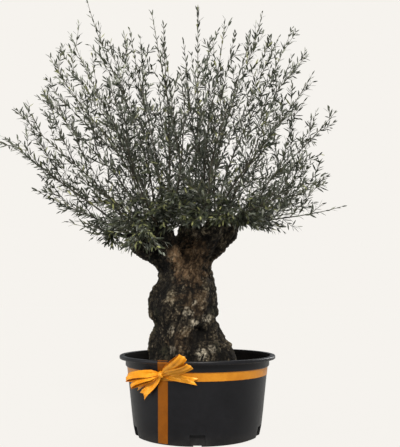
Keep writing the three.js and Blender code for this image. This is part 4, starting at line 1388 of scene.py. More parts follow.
def branch_start(name: str, trunk_points: np.ndarray) -> BranchStart:
    """Finds the foot of one of the frame's branches: its four points that are nearest to the trunk.

    Args:
        name: The branch's node.
        trunk_points: All points of the trunk's solid.

    Returns:
        The foot's centre and its outward direction.
    """
    points = np.unique(np.round(places(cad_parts[name].data), 6), axis=0)
    low, high = trunk_points.min(axis=0) - 0.05, trunk_points.max(axis=0) + 0.05
    near = points[((points > low) & (points < high)).all(axis=1)]
    gaps = np.array([np.min(np.linalg.norm(trunk_points - point, axis=1)) for point in near])
    foot = near[np.argsort(gaps)[:4]]
    centre = foot.mean(axis=0)
    _, _, axes = np.linalg.svd(foot - centre)
    way = axes[2]
    if np.dot(points.mean(axis=0) - centre, way) < 0:
        way = -way
    return BranchStart(centre, way)


@dataclass(frozen=True)
class Leaves:
    """Many leaves: where each starts, the ways it points and faces, and its sizes."""

    feet: np.ndarray
    ways: np.ndarray
    uppers: np.ndarray
    lengths: np.ndarray
    widths: np.ndarray
    curls: np.ndarray
    tones: np.ndarray


class LeafForm:
    """One olive leaf, modelled once: narrow, pointed at both ends and folded along its rib."""

    THICKNESS = 0.016
    FOLD = 0.014

    def __init__(self) -> None:
        """Models the leaf one unit long along X, one unit wide along Y, with its upper side to +Z."""
        leaf = primitive(
            "leaf", bpy.ops.mesh.primitive_uv_sphere_add, segments=4, ring_count=4, radius=0.5,
            rotation=(0.0, math.pi / 2, 0.0),
        )
        with edit_mode(leaf, everything=True):
            bpy.ops.transform.resize(value=(1.0, 1.0, self.THICKNESS), center_override=(0, 0, 0))
            bpy.ops.transform.translate(value=(0.5, 0.0, 0.0))
        choose(leaf, lambda place: 0.7 < place.x < 0.95)
        with edit_mode(leaf):
            bpy.ops.transform.resize(value=(1.0, 0.84, 1.0), center_override=(0, 0, 0))
            bpy.ops.transform.translate(value=(-0.045, 0.0, 0.0))
        choose(leaf, lambda place: 0.05 < place.x < 0.3)
        with edit_mode(leaf):
            bpy.ops.transform.translate(value=(0.03, 0.0, 0.0))
        choose(leaf, lambda place: abs(place.y) > 0.2)
        with edit_mode(leaf):
            bpy.ops.transform.translate(value=(0.0, 0.0, self.FOLD))
        close_and_face_out(leaf)
        self.points = places(leaf.data)
        self.corners = np.concatenate([np.array(face.vertices[:]) for face in leaf.data.polygons])
        self.sizes = np.array([len(face.vertices) for face in leaf.data.polygons])
        self.under = np.array([float(face.normal.z < 0) for face in leaf.data.polygons])
        discard(leaf)

    def place(self, gathering: Gathering, leaves: Leaves, slot: int) -> None:
        """Copies the leaf to every place.

        Args:
            gathering: Where the copies go.
            leaves: The places and sizes.
            slot: The number of the leaf's material.
        """
        count, each = len(leaves.feet), len(self.points)
        across = np.cross(leaves.uppers, leaves.ways)
        along = self.points[None, :, 0] * leaves.lengths[:, None]
        side = self.points[None, :, 1] * leaves.widths[:, None]
        height = self.points[None, :, 2] * leaves.lengths[:, None]
        height = height - leaves.curls[:, None] * self.points[None, :, 0] ** 2 * leaves.lengths[:, None]
        points = (
            leaves.feet[:, None, :] + along[..., None] * leaves.ways[:, None, :]
            + side[..., None] * across[:, None, :] + height[..., None] * leaves.uppers[:, None, :]
        ).reshape(-1, 3)
        corners = (self.corners[None, :] + each * np.arange(count)[:, None]).ravel()
        gathering.add(points, corners, np.tile(self.sizes, count), slot,
                      tone=np.repeat(leaves.tones, len(self.sizes)), under=np.tile(self.under, count))


@dataclass
class CrownOutline:
    """The crown's outline as the camera sees it, in the plane of the container's axis."""

    eye: tuple[float, float] = (-4.42, 0.893)
    top: tuple[tuple[float, float], ...] = (
        (-1.40, 1.98), (-1.365, 2.03), (-1.29, 2.20), (-1.10, 2.36), (-1.06, 2.57), (-0.91, 2.81),
        (-0.80, 3.02), (-0.72, 2.86), (-0.61, 2.68), (-0.48, 2.81), (-0.33, 2.93), (-0.19, 2.84),
        (-0.10, 2.83), (0.0, 2.95), (0.10, 2.86), (0.20, 2.88), (0.34, 2.84), (0.47, 2.94),
        (0.57, 2.90), (0.68, 2.84), (0.77, 2.66), (0.82, 2.46), (0.88, 2.34), (0.95, 2.20),
        (0.99, 2.04),
    )
    bottom: tuple[tuple[float, float], ...] = (
        (-1.40, 1.96), (-1.30, 1.80), (-1.13, 1.62), (-0.81, 1.34), (-0.50, 1.22), (-0.33, 1.14),
        (-0.24, 1.20), (-0.16, 1.24), (-0.07, 1.33), (0.05, 1.38), (0.30, 1.38), (0.60, 1.35),
        (0.80, 1.39), (0.87, 1.44), (0.90, 1.76), (0.95, 1.94), (0.99, 2.02),
    )
    middle_height: float = 1.9
    half_height: float = 1.35
    half_depth: float = 0.97
    gaps: tuple[tuple[float, float, float], ...] = ((0.235, 1.93, 0.055), (-0.475, 2.32, 0.05))

    def seen(self, points: np.ndarray) -> tuple[np.ndarray, np.ndarray]:
        """Where the camera sees points, as places in the plane of the axis."""
        share = -self.eye[0] / (points[:, 1] - self.eye[0])
        return points[:, 0] * share, self.eye[1] + (points[:, 2] - self.eye[1]) * share

    def holds(self, points: np.ndarray) -> bool:
        """True if all points are inside the outline and none of them is in one of its gaps."""
        x, z = self.seen(points)
        high = np.interp(x, *np.array(self.top).T)
        low = np.interp(x, *np.array(self.bottom).T)
        inside = (z < high) & (z > low) & (x > self.top[0][0]) & (x < self.top[-1][0])
        free = all(((x - gx) ** 2 + (z - gz) ** 2 > radius**2).all() for gx, gz, radius in self.gaps)
        middle = (points[:, 2] - self.middle_height) / self.half_height
        deep = np.abs(points[:, 1]) < self.half_depth * np.sqrt(np.clip(1.08 - middle**2, 0.0, 1.0))
        return bool(inside.all() and deep.all() and free)


@dataclass(frozen=True)
class Growth:
    """How the crown grows: spacings, angles and sizes of shoots and leaves, in metres and radians."""

    shoot_spacing: tuple[float, float, float] = (0.088, 0.108, 0.125)
    shoot_length: tuple[float, float, float] = (0.21, 0.26, 0.15)
    shoot_angle: tuple[float, float, float] = (0.95, 0.78, 0.50)
    shoot_radius: float = 0.0020
    leaders: int = 2
    leader_angle: tuple[float, float] = (0.28, 0.60)
    leader_reach: tuple[float, float] = (0.75, 1.10)
    leader_radii: tuple[float, float] = (0.0036, 0.0013)
    spurs: int = 1
    spur_length: tuple[float, float] = (0.08, 0.15)
    pair_spacing: float = 0.0375
    leaf_length: tuple[float, float] = (0.046, 0.074)
    leaf_width: tuple[float, float] = (0.0105, 0.0150)
    leaf_angle: tuple[float, float] = (0.40, 0.90)
    skirt_length: tuple[float, float] = (0.13, 0.28)
    lost_share: float = 0.06
    turned_over: float = 0.14
    pale_share: float = 0.15
    tries: int = 6
    cell: float = 0.09
    turn: float = 2.399963
    first_seed: int = 400

    @staticmethod
    def along(share: float, values: tuple[float, float, float]) -> float:
        """A value between three steps: at a stem's foot, a third of the way up and at its tip."""
        return float(np.interp(share, (0.0, 0.34, 1.0), values))


@dataclass
class LeafyBranch:
    """One main stem with its shoots, spurs and leaves, in a piece of its own.

    Its skirt is how many arching shoots it has at its foot. They hang more where hang is greater.
    Where sparse is greater, the shoots further up stand further apart.
    """

    number: int
    tip: Place
    skirt: int = 3
    sparse: float = 1.0
    hang: float = 0.0
    radii: tuple[float, float] = (0.0082, 0.0015)
    rule: Growth = field(init=False, repr=False)
    draw: np.random.Generator = field(init=False, repr=False)
    gathering: Gathering = field(init=False, repr=False)
    crown: "Crown" = field(init=False, repr=False)
    feet: list[tuple] = field(init=False, default_factory=list)

    @property
    def node(self) -> str:
        """The name of the frame's solid that it stands for."""
        return f"leafy_branch_{self.number:02d}"

    def build(self, start: BranchStart, crown: "Crown") -> None:
        """Grows the branch from its foot to its tip, and hands it to the frame.

        Args:
            start: The foot on the stub.
            crown: The crown that it belongs to, with the leaf, the outline and the materials.
        """
        self.draw = np.random.default_rng(crown.growth.first_seed + self.number)
        self.crown, self.rule = crown, crown.growth
        self.gathering = Gathering()
        tip = np.array(self.tip)
        span = float(np.linalg.norm(tip - start.place))
        last = unit(unit(tip - start.place) + 0.12 * UP)
        corners = (start.place, start.place + 0.36 * span * start.way, tip - 0.34 * span * last, tip)
        self._stem(corners, self.radii, 18, 7, 0.14)
        self._shoots(corners, span, 1.0)
        for step in range(self.rule.leaders if self.sparse < 2 else 1):
            self._leader(corners, span, step)
        self._skirt(corners, start)
        leaves = Leaves(*(np.array(column) for column in zip(*self.feet)))
        crown.leaf.place(self.gathering, leaves, 1)
        piece = self.gathering.build(f"olive_branch_{self.number:02d}")
        hand_over(piece, self.node, "foliage", 42.0, crown.twig_bark, crown.leaf_skin)

    def _stem(self, corners: Sequence[np.ndarray], radii: tuple[float, float], rings: int, sides: int,
              first: float) -> None:
        """A stem that thins towards its tip, with leaves of its own.

        Args:
            corners: The curve that it follows.
            radii: Its radius at its foot and at its tip.
            rings: How many rings it has.
            sides: How many sides it has.
            first: The share of it where the leaves begin.
        """
        path = bezier(corners, np.linspace(0.0, 1.0, rings))
        path[0] -= 1.4 * radii[0] * unit(path[1] - path[0])
        thins = radii[0] + (radii[1] - radii[0]) * np.linspace(0.0, 1.0, rings) ** 0.7
        ages = np.repeat(np.linspace(0.2, 0.8, rings - 1), sides)
        self.gathering.add(*tube(path, thins, sides), tone=np.concatenate([ages, [0.2, 0.8]]))
        self._leaf_pairs(path, thins, first)

    def _leader(self, corners: Sequence[np.ndarray], span: float, step: int) -> None:
        """A long side stem that runs up to the crown's outline and bears shoots of its own.

        Args:
            corners: The main stem's curve.
            span: The main stem's length.
            step: Its number on this main stem, from the lowest up.
        """
        rule = self.rule
        share = 0.26 + 0.20 * step + self.draw.uniform(-0.06, 0.06)
        foot, ahead = bezier(corners, np.array((share, share + 0.01)))
        angle = self.draw.uniform(*rule.leader_angle)
        length = span * (1 - share) * self.draw.uniform(*rule.leader_reach)
        aim = self._free_aim(foot, unit(ahead - foot), 2.4 * step + self.number, angle, length)
        for _ in range(7):
            tip = foot + aim * length + 0.08 * length * UP
            curve = (foot, foot + 0.5 * length * aim, tip)
            if length > 0.22 and self.crown.outline.holds(bezier(curve, np.linspace(0.3, 1.0, 5))):
                self._stem(curve, rule.leader_radii, 9, 5, 0.12)
                self._shoots(curve, length, 0.68)
                return
            length *= 0.87

    def _free_aim(self, foot: np.ndarray, way: np.ndarray, turn: float, angle: float,
                  length: float, sinks: bool = False) -> np.ndarray:
        """Of several ways that a shoot could take round its stem, the one with the most room.

        Args:
            foot: Where it leaves the stem.
            way: The stem's direction there.
            turn: The first try's turn round the stem.
            angle: How far it leans away from the stem.
            length: How far it reaches.
            sinks: True if it fills the space below its stem.

        Returns:
            Its direction, turned up towards the light where the stem lies flat.
        """
        flat = 1 - abs(way[2])
        lift = (0.20 - 0.6 * flat if sinks else 0.20 + 0.5 * flat) * UP
        aims = []
        for index in range(self.rule.tries):
            out = self._sideways(way, turn + 2 * math.pi * index / self.rule.tries)
            aims.append(unit(way * math.cos(angle) + out * math.sin(angle) + lift))
        return min(aims, key=lambda aim: self.crown.crowding(foot + 0.7 * length * aim))

    def _shoots(self, corners: Sequence[np.ndarray], span: float, size: float) -> None:
        """Side shoots up a stem: close and spreading low down, fewer and steeper near the tip.

        Args:
            corners: The stem's curve.
            span: Its length.
            size: A factor on the shoots' lengths.
        """
        rule = self.rule
        at, step = 0.05 * span, 0
        while at < 0.96 * span:
            share = at / span
            foot, ahead = bezier(corners, np.array((share, min(1.0, share + 0.01))))
            way = unit(ahead - foot)
            length = rule.along(share, rule.shoot_length) * size * self.draw.uniform(0.7, 1.2)
            angle = rule.along(share, rule.shoot_angle) + self.draw.uniform(-0.2, 0.2)
            turn, sinks = rule.turn * step + self.number, step % 3 == 2
            aim = self._free_aim(foot, way, turn, angle, length, sinks)
            self._shoot(foot, aim, length, 0.16, rule.spurs)
            thinning = 1.0 + (self.sparse - 1.0) * smooth_step(0.25, 0.6, share)
            at += rule.along(share, rule.shoot_spacing) * thinning * self.draw.uniform(0.7, 1.3)
            step += 1

    def _skirt(self, corners: Sequence[np.ndarray], start: BranchStart) -> None:
        """Arching shoots low on the stem that spread outwards and hang over the sawn head."""
        outward = unit(np.array((start.way[0], start.way[1] - 0.25, 0.0)))
        beside = np.cross(UP, outward)
        for step in range(self.skirt):
            foot = bezier(corners, np.array((0.01 + 0.15 * step / max(1, self.skirt),)))[0]
            turn = 1.5 * math.sin(2.4 * step + self.number) + self.draw.uniform(-0.2, 0.2)
            sideways = outward * math.cos(turn) + beside * math.sin(turn)
            rise = self.draw.uniform(-0.25, 0.25) - self.hang
            aim = unit(0.25 * start.way + sideways + rise * UP)
            self._shoot(foot, aim, self.draw.uniform(*self.rule.skirt_length), -0.24, 2)

    @staticmethod
    def _sideways(way: np.ndarray, turn: float) -> np.ndarray:
        """A direction square to a stem, at a turn round it."""
        across = unit(np.cross(way, UP if abs(way[2]) < 0.95 else RIGHT))
        return math.cos(turn) * across + math.sin(turn) * np.cross(way, across)

    def _shoot(self, foot: np.ndarray, aim: np.ndarray, length: float, rise: float, spurs: int) -> None:
        """Grows one shoot where the crown's outline has room for it.

        Args:
            foot: Where it leaves its stem.
            aim: The way it sets out.
            length: Its full length.
            rise: How much it turns up on its way, as a share of its length.
            spurs: How many short spurs it bears.
        """
        for _ in range(5):
            tip = foot + aim * length + rise * length * UP
            corners = (foot, foot + 0.55 * length * aim, tip)
            path = bezier(corners, np.linspace(0.0, 1.0, 6))
            if self.crown.outline.holds(path[2:]):
                break
            length *= 0.8
        else:
            return
        self.crown.fill(path[1:])
        radii = np.linspace(self.rule.shoot_radius, 0.0011, 6)
        self.gathering.add(*tube(path, radii, 4), tone=self.draw.uniform(0.55, 0.9))
        self._leaf_pairs(path, radii, 0.10)
        for spur in range(spurs):
            share = 0.25 + 0.5 * (spur + self.draw.random()) / max(1, spurs)
            root, ahead = bezier(corners, np.array((share, share + 0.02)))
            way = unit(ahead - root)
            out = self._sideways(way, self.draw.uniform(0.0, 2 * math.pi))
            size = self.draw.uniform(*self.rule.spur_length) * min(1.0, length / 0.25)
            end = root + unit(way * 0.75 + out * 0.65 + 0.12 * UP) * size
            twig = bezier((root, (root + end) / 2 + 0.05 * size * way, end), np.linspace(0.0, 1.0, 3))
            if self.crown.outline.holds(twig[1:]):
                thin = np.linspace(0.0016, 0.0009, 3)
                self.gathering.add(*tube(twig, thin, 3), tone=0.85)
                self._leaf_pairs(twig, thin, 0.15)

    def _leaf_pairs(self, path: np.ndarray, radii: np.ndarray, first: float) -> None:
        """Leaves in opposite pairs, each pair turned a quarter from the last, and one at the tip.

        Args:
            path: The stem's centres.
            radii: Its radii there.
            first: The share of the stem where the leaves begin.
        """
        steps = np.linalg.norm(np.diff(path, axis=0), axis=1)
        marks = np.concatenate([[0.0], np.cumsum(steps)])
        total = marks[-1]
        places_along = np.arange(first * total, total, self.rule.pair_spacing)
        ways = unit(np.gradient(path, axis=0))
        turn = self.draw.uniform(0.0, math.pi)
        for index, at in enumerate(places_along):
            at = at + self.draw.uniform(-0.004, 0.004)
            foot = np.array([np.interp(at, marks, path[:, axis]) for axis in range(3)])
            way = unit(np.array([np.interp(at, marks, ways[:, axis]) for axis in range(3)]))
            radius = float(np.interp(at, marks, radii))
            for side in (0.0, math.pi):
                if self.draw.random() < self.rule.lost_share:
                    continue
                around = turn + index * math.pi / 2 + side + self.draw.uniform(-0.35, 0.35)
                out = self._sideways(way, around)
                self._leaf(foot + out * radius * 0.8, way, out, at / total)
        self._leaf(path[-1], ways[-1], self._sideways(ways[-1], turn), 1.0)

    def _leaf(self, foot: np.ndarray, way: np.ndarray, out: np.ndarray, share: float) -> None:
        """Notes one leaf: smaller and steeper towards the tip of its stem.

        Args:
            foot: Where it leaves the stem.
            way: The stem's direction there.
            out: The leaf's side of the stem.
            share: How far up the stem it is.
        """
        rule = self.rule
        low, high = rule.leaf_angle
        angle = high + (low - high) * share + self.draw.uniform(-0.2, 0.2)
        droop = self.draw.uniform(-0.02, 0.16)
        aim = unit(way * math.cos(angle) + out * math.sin(angle) - droop * UP)
        upper = 0.7 * way + 0.45 * UP + 0.35 * self.draw.normal() * np.cross(way, out)
        upper = unit(upper - aim * np.dot(upper, aim))
        if self.draw.random() < rule.turned_over:
            upper = -upper
        size = 1.0 - 0.38 * share**2
        self.feet.append((
            foot, aim, upper, self.draw.uniform(*rule.leaf_length) * size,
            self.draw.uniform(*rule.leaf_width) * (0.55 + 0.45 * size), self.draw.uniform(0.0, 0.14),
            self._tone(foot, share),
        ))

    def _tone(self, foot: np.ndarray, share: float) -> float:
        """A leaf's tone: deep near the middle, paler at the tips, high on the left and low down."""
        left = smooth_step(0.1, 1.0, -foot[0])
        high = smooth_step(1.5, 2.6, foot[2])
        low = smooth_step(1.75, 1.35, foot[2])
        tone = 0.15 + 0.12 * share + 0.06 * high + 0.24 * left * high + 0.10 * low
        tone += 0.17 * self.draw.normal()
        if self.draw.random() < self.rule.pale_share:
            tone += 0.5
        return float(np.clip(tone, 0.0, 1.0))


@dataclass
class Crown:
    """All leafy branches, the leaf and the finishes that they share, and the room they leave free."""

    effects: Effects
    growth: Growth = field(default_factory=Growth)
    outline: CrownOutline = field(default_factory=CrownOutline)
    filled: dict[tuple[int, ...], int] = field(default_factory=dict)
    leaf: LeafForm = field(init=False)
    twig_bark: Material = field(init=False)
    leaf_skin: Material = field(init=False)
    branches: tuple[LeafyBranch, ...] = field(default_factory=lambda: (
        LeafyBranch(1, (-1.365, 0.020, 2.020)), LeafyBranch(2, (-1.235, -0.150, 2.175), sparse=1.2),
        LeafyBranch(3, (-1.135, 0.180, 2.395)), LeafyBranch(4, (-1.020, -0.130, 2.550)),
        LeafyBranch(5, (-0.965, 0.270, 2.880)), LeafyBranch(6, (-0.790, -0.030, 3.010)),
        LeafyBranch(7, (-0.460, -0.220, 2.705), 10, 2.3, 0.8),
        LeafyBranch(8, (-0.335, 0.100, 2.970), 10, 2.9, 0.9),
        LeafyBranch(9, (0.005, 0.000, 2.950), sparse=3.4),
        LeafyBranch(10, (0.185, -0.220, 2.780), sparse=2.6),
        LeafyBranch(11, (0.465, 0.020, 2.935), sparse=1.3),
        LeafyBranch(12, (0.710, 0.220, 2.910), sparse=1.2), LeafyBranch(13, (0.780, -0.160, 2.410)),
        LeafyBranch(14, (0.970, 0.030, 2.200)), LeafyBranch(15, (0.945, 0.160, 1.775)),
        LeafyBranch(16, (0.990, -0.040, 1.520)), LeafyBranch(17, (0.615, -0.200, 1.450), 8),
        LeafyBranch(18, (-0.775, -0.190, 1.400), 7, 2.3, 0.6),
        LeafyBranch(19, (-1.160, 0.130, 1.665), 3, 1.9, 0.4),
        LeafyBranch(20, (-0.525, -0.480, 1.295), 7, 2.5, 0.6),
        LeafyBranch(21, (-0.535, -0.800, 2.045), 8, 1.4),
        LeafyBranch(22, (-0.060, -0.920, 2.120), 10, 1.5),
        LeafyBranch(23, (0.495, -0.800, 1.950), 9, 1.3),
        LeafyBranch(24, (-0.210, -0.600, 2.570), 12, 3.3, 0.7),
        LeafyBranch(25, (0.325, -0.610, 2.505), 8, 2.3),
        LeafyBranch(26, (-0.755, -0.600, 1.655), 6, 2.2, 0.3),
        LeafyBranch(27, (0.650, -0.620, 1.595), 9), LeafyBranch(28, (0.040, -0.760, 1.530), 12),
        LeafyBranch(29, (-0.575, 0.800, 2.085)), LeafyBranch(30, (0.060, 0.920, 2.190)),
        LeafyBranch(31, (0.550, 0.800, 2.035)),
        LeafyBranch(32, (-0.280, 0.620, 2.635), 9, 2.8, 0.7),
        LeafyBranch(33, (0.310, 0.600, 2.615), sparse=1.8),
        LeafyBranch(34, (-0.770, 0.600, 1.670), sparse=2.1), LeafyBranch(35, (0.710, 0.600, 1.620)),
    ))

    def _cell(self, point: np.ndarray) -> tuple[int, ...]:
        """The cell of space that a point is in."""
        return tuple(int(number) for number in np.floor(point / self.growth.cell))

    def crowding(self, point: np.ndarray) -> int:
        """How many pieces of shoots are in a point's cell already."""
        return self.filled.get(self._cell(point), 0)

    def fill(self, path: np.ndarray) -> None:
        """Notes that a shoot passes through these points."""
        for point in path:
            cell = self._cell(point)
            self.filled[cell] = self.filled.get(cell, 0) + 1

    def starts(self) -> list[BranchStart]:
        """Where each branch stands on the trunk's solid."""
        trunk_points = np.unique(np.round(places(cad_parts["trunk"].data), 6), axis=0)
        return [branch_start(branch.node, trunk_points) for branch in self.branches]

    def build(self, starts: Sequence[BranchStart]) -> None:
        """Grows every branch from its start."""
        self.leaf = LeafForm()
        self.twig_bark = TwigBark(self.effects).material()
        self.leaf_skin = OliveLeaf(self.effects).material()
        for branch, start in zip(self.branches, starts):
            branch.build(start, self)
        LOG.info("crown: %d leaves", sum(len(branch.feet) for branch in self.branches))


@dataclass(frozen=True)
class Station:
    """One place along a ribbon."""

    centre: np.ndarray
    across: np.ndarray
    width: float
    fold: float


@dataclass(frozen=True)
class Loop:
    """A loop's end, right of the knot, above it and out from it, and how the loop stands open."""

    right: float
    up: float
    out: float
    bulge: float
    tilt: float
    twist: float = 0.0


@dataclass(frozen=True)
class Tail:
    """A tail's end, right of the knot and above it, its V cut and its share of the width."""

    right: float
    up: float
    notch: float
    share: float


@dataclass
class Ribbon:
    """The satin ribbon: a strip up the wall, a band round it, a bow and its knot."""

    effects: Effects
    container: Container
    width: float = 0.056
    pinch: float = 0.019
    thickness: float = 0.0009
    crease_angle: float = 26.0
    strip_x: float = -0.210
    strip_width: float = 0.062
    strip_end: float = 0.478
    strip_rows: int = 150
    band_bottom: float = 0.396
    band_top: float = 0.449
    band_lift: float = 0.0038
    band_rows: int = 300
    knot_turn: float = -26.5
    knot_height: float = 0.436
    knot_depth: float = 0.024
    knot_sunk: float = 0.001
    knot_sizes: Place = (0.0180, 0.0170, 0.0205)
    knot_cloth: tuple[float, float] = (0.034, 0.112)
    knot_thickness: float = 0.0012
    loop_rows: int = 44
    tail_rows: int = 30
    opened_at: float = 0.34
    loops: tuple[Loop, ...] = (
        Loop(0.214, 0.134, 0.125, 0.030, -0.72, 0.15), Loop(0.246, 0.080, 0.100, 0.024, -0.80, -0.1),
        Loop(-0.234, -0.022, 0.024, 0.027, -0.78, 0.1),
        Loop(-0.206, -0.064, 0.014, 0.026, -0.55, -0.15),
    )
    tails: tuple[Tail, ...] = (
        Tail(0.223, -0.037, 0.026, 0.76), Tail(-0.149, -0.142, 0.027, 0.98),
        Tail(-0.205, -0.098, 0.014, 0.62),
    )
    out_way: np.ndarray = field(init=False)
    right_way: np.ndarray = field(init=False)
    band_radius: float = field(init=False)
    knot: np.ndarray = field(init=False)

    def __post_init__(self) -> None:
        """Works out the knot's own frame: along the wall, up, and out of the wall."""
        turn = math.radians(self.knot_turn)
        self.out_way = np.array((math.sin(turn), -math.cos(turn), 0.0))
        self.right_way = np.array((math.cos(turn), math.sin(turn), 0.0))
        self.band_radius = self.container.wall_radius(self.band_top) + self.band_lift
        middle = self.band_radius + self.knot_depth / 2 - self.knot_sunk
        self.knot = self.out_way * middle + UP * self.knot_height

    def build(self) -> None:
        """Makes the four pieces of ribbon."""
        cloth = SatinRibbon(self.effects)
        # Each piece gets its own copy of the satin, with painted shade on the strip and painted light on the
        # bow.
        self._strip(cloth.material(RibbonPaintedLight.STRIP))
        self._band(cloth.material(RibbonPaintedLight.BAND))
        bow = cloth.material(RibbonPaintedLight.BOW)
        self._bow(bow)
        self._knot(bow)

    def _cloth(self, name: str, shape: Shape, across: int, along: int, length: float,
               thickness: float | None = None, offset: float = 1.0) -> Piece:
        """A sheet of ribbon from a grid.

        Args:
            name: The new object's name.
            shape: Gives the place for a share of the width and a share of the length.
            across: Faces across it.
            along: Faces along it.
            length: Its length, for the map's scale.
            thickness: The cloth's own thickness where it isn't the usual one.
            offset: 1 if the shape is the cloth's back, and 0 if it is the middle of it.

        Returns:
            The sheet with its thickness.
        """
        piece = primitive(name, bpy.ops.mesh.primitive_grid_add, x_subdivisions=across,
                          y_subdivisions=along, size=1.0, calc_uvs=True)
        grid = places(piece.data)
        put_back(piece.data, np.array([shape(u + 0.5, v + 0.5) for u, v, _ in grid]))
        for corner in piece.data.uv_layers[0].data:
            corner.uv = (corner.uv[0], corner.uv[1] * length / self.width)
        apply_modifier(piece, "SOLIDIFY", thickness=thickness or self.thickness, offset=offset)
        return piece

    def _strip(self, material: Material) -> None:
        """The strip that runs from the base edge up the wall, over the lip and down inside it."""
        tub = self.container
        inner = tub.collar_radius - tub.wall
        wall_heights = (tub.edge_height + 0.001, tub.low_height, tub.middle_height, 0.440)
        path = np.array([
            *((tub.wall_radius(z), z) for z in wall_heights),
            (tub.collar_radius, tub.collar_bottom + 0.001),
            (tub.lip_radius, tub.lip_bottom + tub.lip_under_rounding),
            (tub.lip_radius, tub.height - tub.lip_rounding), (tub.lip_radius - tub.lip_rounding, tub.height),
            (tub.mouth_radius, tub.height), (inner, tub.mouth_bottom), (inner, self.strip_end),
        ])
        marks = np.concatenate([[0.0], np.cumsum(np.linalg.norm(np.diff(path, axis=0), axis=1))])
        length, rows = float(marks[-1]), self.strip_rows
        at = np.linspace(0.0, length, rows + 1)
        run = np.stack([np.interp(at, marks, path[:, axis]) for axis in (0, 1)], axis=1)
        ways = unit(np.gradient(run, axis=0))

        def shape(u: float, v: float) -> Place:
            """The place on the wall, with a slight lift where the cloth isn't pulled flat."""
            row = int(round(v * rows))
            x = self.strip_x + (u - 0.5) * self.strip_width
            lift = 0.0006 + 0.0004 * noise.noise(Vector((x * 30, at[row] * 9, 1.0)))
            radius = run[row, 0] + lift * ways[row, 1]
            return x, -math.sqrt(radius**2 - x**2), run[row, 1] - lift * ways[row, 0]

        piece = self._cloth("ribbon_strip_satin", shape, 14, rows, length)
        hand_over(piece, "ribbon_strip", "ribbon", self.crease_angle, material)

    def _band(self, material: Material) -> None:
        """The band that runs round the wall, over the strip."""
        tub = self.container
        strip_turn = math.asin(self.strip_x / tub.wall_radius(0.42))
        girth = 2 * math.pi * self.band_radius
        half_strip = self.strip_width / 2

        def shape(u: float, v: float) -> Place:
            """The place round the wall, with a step up over the strip and faint waves."""
            turn = 2 * math.pi * v + math.pi
            z = self.band_bottom + (self.band_top - self.band_bottom) * u
            away = abs((turn - strip_turn + math.pi) % (2 * math.pi) - math.pi) * self.band_radius
            over = 0.0016 * (1 - smooth_step(half_strip, half_strip + 0.012, away))
            wave = 0.0006 * noise.noise(Vector((math.sin(turn) * 6, math.cos(turn) * 6, u * 1.5)))
            radius = tub.wall_radius(z) + 0.0010 + over + wave
            return radius * math.sin(turn), -radius * math.cos(turn), z

        piece = self._cloth("ribbon_band_satin", shape, 8, self.band_rows, girth)
        close_and_face_out(piece)
        hand_over(piece, "ribbon_band", "ribbon", self.crease_angle, material)

    def _gathered(self, opened: float) -> tuple[float, float]:
        """The width and the depth of the folds for how far the ribbon has opened, from 0 to 1."""
        eased = smooth_step(0.0, 1.0, min(1.0, opened))
        width = self.pinch + (self.width - self.pinch) * eased
        return width, 0.0015 + 0.0075 * (1 - eased) ** 0.7

    def _loop(self, index: int, loop: Loop) -> tuple[Piece, float]:
        """A loop that leaves the knot, turns back at its end and comes in again behind itself.

        Args:
            index: Its number, for its name and its folds.
            loop: Where its end is.

        Returns:
            The loop, and the length of ribbon in it.
        """
        reach = self.right_way * loop.right + UP * loop.up + self.out_way * loop.out
        flat = unit(np.cross(reach, self.out_way))
        stood = unit(np.cross(flat, reach))
        across = flat * math.cos(loop.tilt) + stood * math.sin(loop.tilt)
        bulge_way = stood * math.cos(loop.tilt) - flat * math.sin(loop.tilt)

        def station(share: float) -> Station:
            """The ribbon's place at a share of the loop."""
            turn = 2 * math.pi * share
            along = (1 - math.cos(turn)) / 2
            opened = math.sin(turn) * abs(math.sin(turn / 2)) ** 0.8
            side = opened * loop.bulge * (1.0 if turn < math.pi else 0.34)
            sag = -0.010 * math.sin(turn / 2) ** 4
            centre = self.knot + reach * along + bulge_way * side + UP * sag
            lean = loop.twist * math.sin(turn / 2) ** 2 * (1 if turn < math.pi else 0.4)
            tilted = unit(across * math.cos(lean) + bulge_way * math.sin(lean))
            return Station(centre, tilted, *self._gathered(along / self.opened_at))

        stations = [station(share) for share in np.linspace(0.0, 1.0, self.loop_rows + 1)]
        return self._ribbon_along(f"loop_{index}", stations, 0.7 * index)

    def _ribbon_along(self, name: str, stations: Sequence[Station], phase: float,
                      notch: float = 0.0) -> tuple[Piece, float]:
        """A gathered ribbon along its stations.

        Args:
            name: The new object's name.
            stations: Its places, evenly spaced.
            phase: Where its folds begin, so that no two ribbons fold alike.
            notch: The depth of the V cut in its far end.

        Returns:
            The ribbon and its length.
        """
        centres = np.array([station.centre for station in stations])
        length = float(np.linalg.norm(np.diff(centres, axis=0), axis=1).sum())
        ways = unit(np.gradient(centres, axis=0))
        last = len(stations) - 1

        def shape(u: float, v: float) -> np.ndarray:
            """The place for a share of the width and of the length."""
            index = int(round(v * last))
            at = stations[index]
            normal = unit(np.cross(ways[index], at.across))
            side = u - 0.5
            pleat = 4 * abs((2.0 * side + 0.25 * phase + 0.35 * v) % 1.0 - 0.5) - 1
            folds = at.fold * pleat + 0.0012 * math.cos(9 * side + 17 * v + phase)
            dish = 0.004 * (at.width / self.width) * (4 * side * side - 0.35) * math.sin(math.pi * v)
            ahead = -notch * (1 - abs(2 * side)) * smooth_step(0.72, 1.0, v)
            place = at.centre + at.across * side * at.width + normal * (folds + dish)
            return place + ways[index] * ahead

        return self._cloth(name, shape, 20, last, length, offset=0.0), length

    def _tail(self, index: int, tail: Tail) -> tuple[Piece, float]:
        """A tail that lies along the wall, with a V cut in its end.

        Args:
            index: Its number, for its name and its folds.
            tail: Where its end is.

        Returns:
            The tail and its length.
        """
        ahead = unit(self.right_way * tail.right + UP * tail.up)

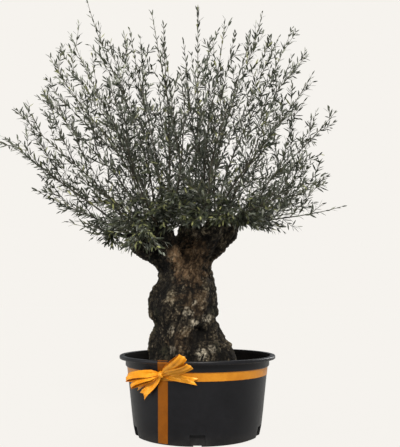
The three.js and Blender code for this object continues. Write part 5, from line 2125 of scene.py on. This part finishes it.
        def station(share: float) -> Station:
            """The ribbon's place at a share of the tail."""
            turn = math.radians(self.knot_turn) + tail.right * share / self.band_radius
            facing = np.array((math.sin(turn), -math.cos(turn), 0.0))
            settle = smooth_step(0.0, 0.55, share)
            away = self.knot_depth / 2 * (1 - settle) + 0.0085 * settle
            away = max(away + 0.004 * math.sin(8 * share + index), 0.004)
            centre = facing * (self.band_radius + away) + UP * (self.knot_height + tail.up * share)
            width, fold = self._gathered(share / self.opened_at)
            return Station(centre, unit(np.cross(facing, ahead)), tail.share * width, fold)

        stations = [station(share) for share in np.linspace(0.0, 1.0, self.tail_rows + 1)]
        return self._ribbon_along(f"tail_{index}", stations, 1.3 * index + 0.6, tail.notch)

    def _bow(self, material: Material) -> None:
        """Loops and tails, joined at their pinched middle."""
        made = [self._loop(index, loop) for index, loop in enumerate(self.loops)]
        made += [self._tail(index, tail) for index, tail in enumerate(self.tails)]
        piece = join([ribbon for ribbon, _ in made])
        piece.name = "ribbon_bow_satin"
        hand_over(piece, "bow", "ribbon", self.crease_angle, material)

    def _knot(self, material: Material) -> None:
        """The short wrap that holds the bow: a small, full barrel with slanting folds."""
        half_width, half_depth, half_height = self.knot_sizes

        def shape(u: float, v: float) -> np.ndarray:
            """The place round the knot."""
            turn = 2 * math.pi * v
            side = 2 * u - 1
            full = math.sqrt(max(0.0, 1 - 0.42 * side * side))
            folds = 1 + 0.055 * math.cos(3 * turn + 2.2 * side) + 0.05 * math.cos(7 * side + 2 * turn)
            high = half_height * full * folds * math.sin(turn)
            deep = half_depth * full * folds * math.cos(turn)
            return self.knot + self.right_way * half_width * side + UP * high + self.out_way * deep

        girth = self.knot_cloth[1]
        piece = self._cloth("ribbon_knot_satin", shape, 14, 48, girth, thickness=self.knot_thickness)
        close_and_face_out(piece)
        hand_over(piece, "bow_knot", "ribbon", self.crease_angle, material)


def main() -> None:
    """Builds the studio, then the object, the trunk before the soil that it stands in."""
    logging.basicConfig(level=logging.INFO, format="%(name)s: %(message)s")
    Studio().set_up()
    effects = Effects()
    container = Container(effects)
    container.build()
    crown = Crown(effects)
    starts = crown.starts()
    trunk = Trunk(effects).build(starts)
    Soil(effects, container).build(trunk)
    crown.build(starts)
    Ribbon(effects, container).build()


if __name__ == "__main__":
    main()
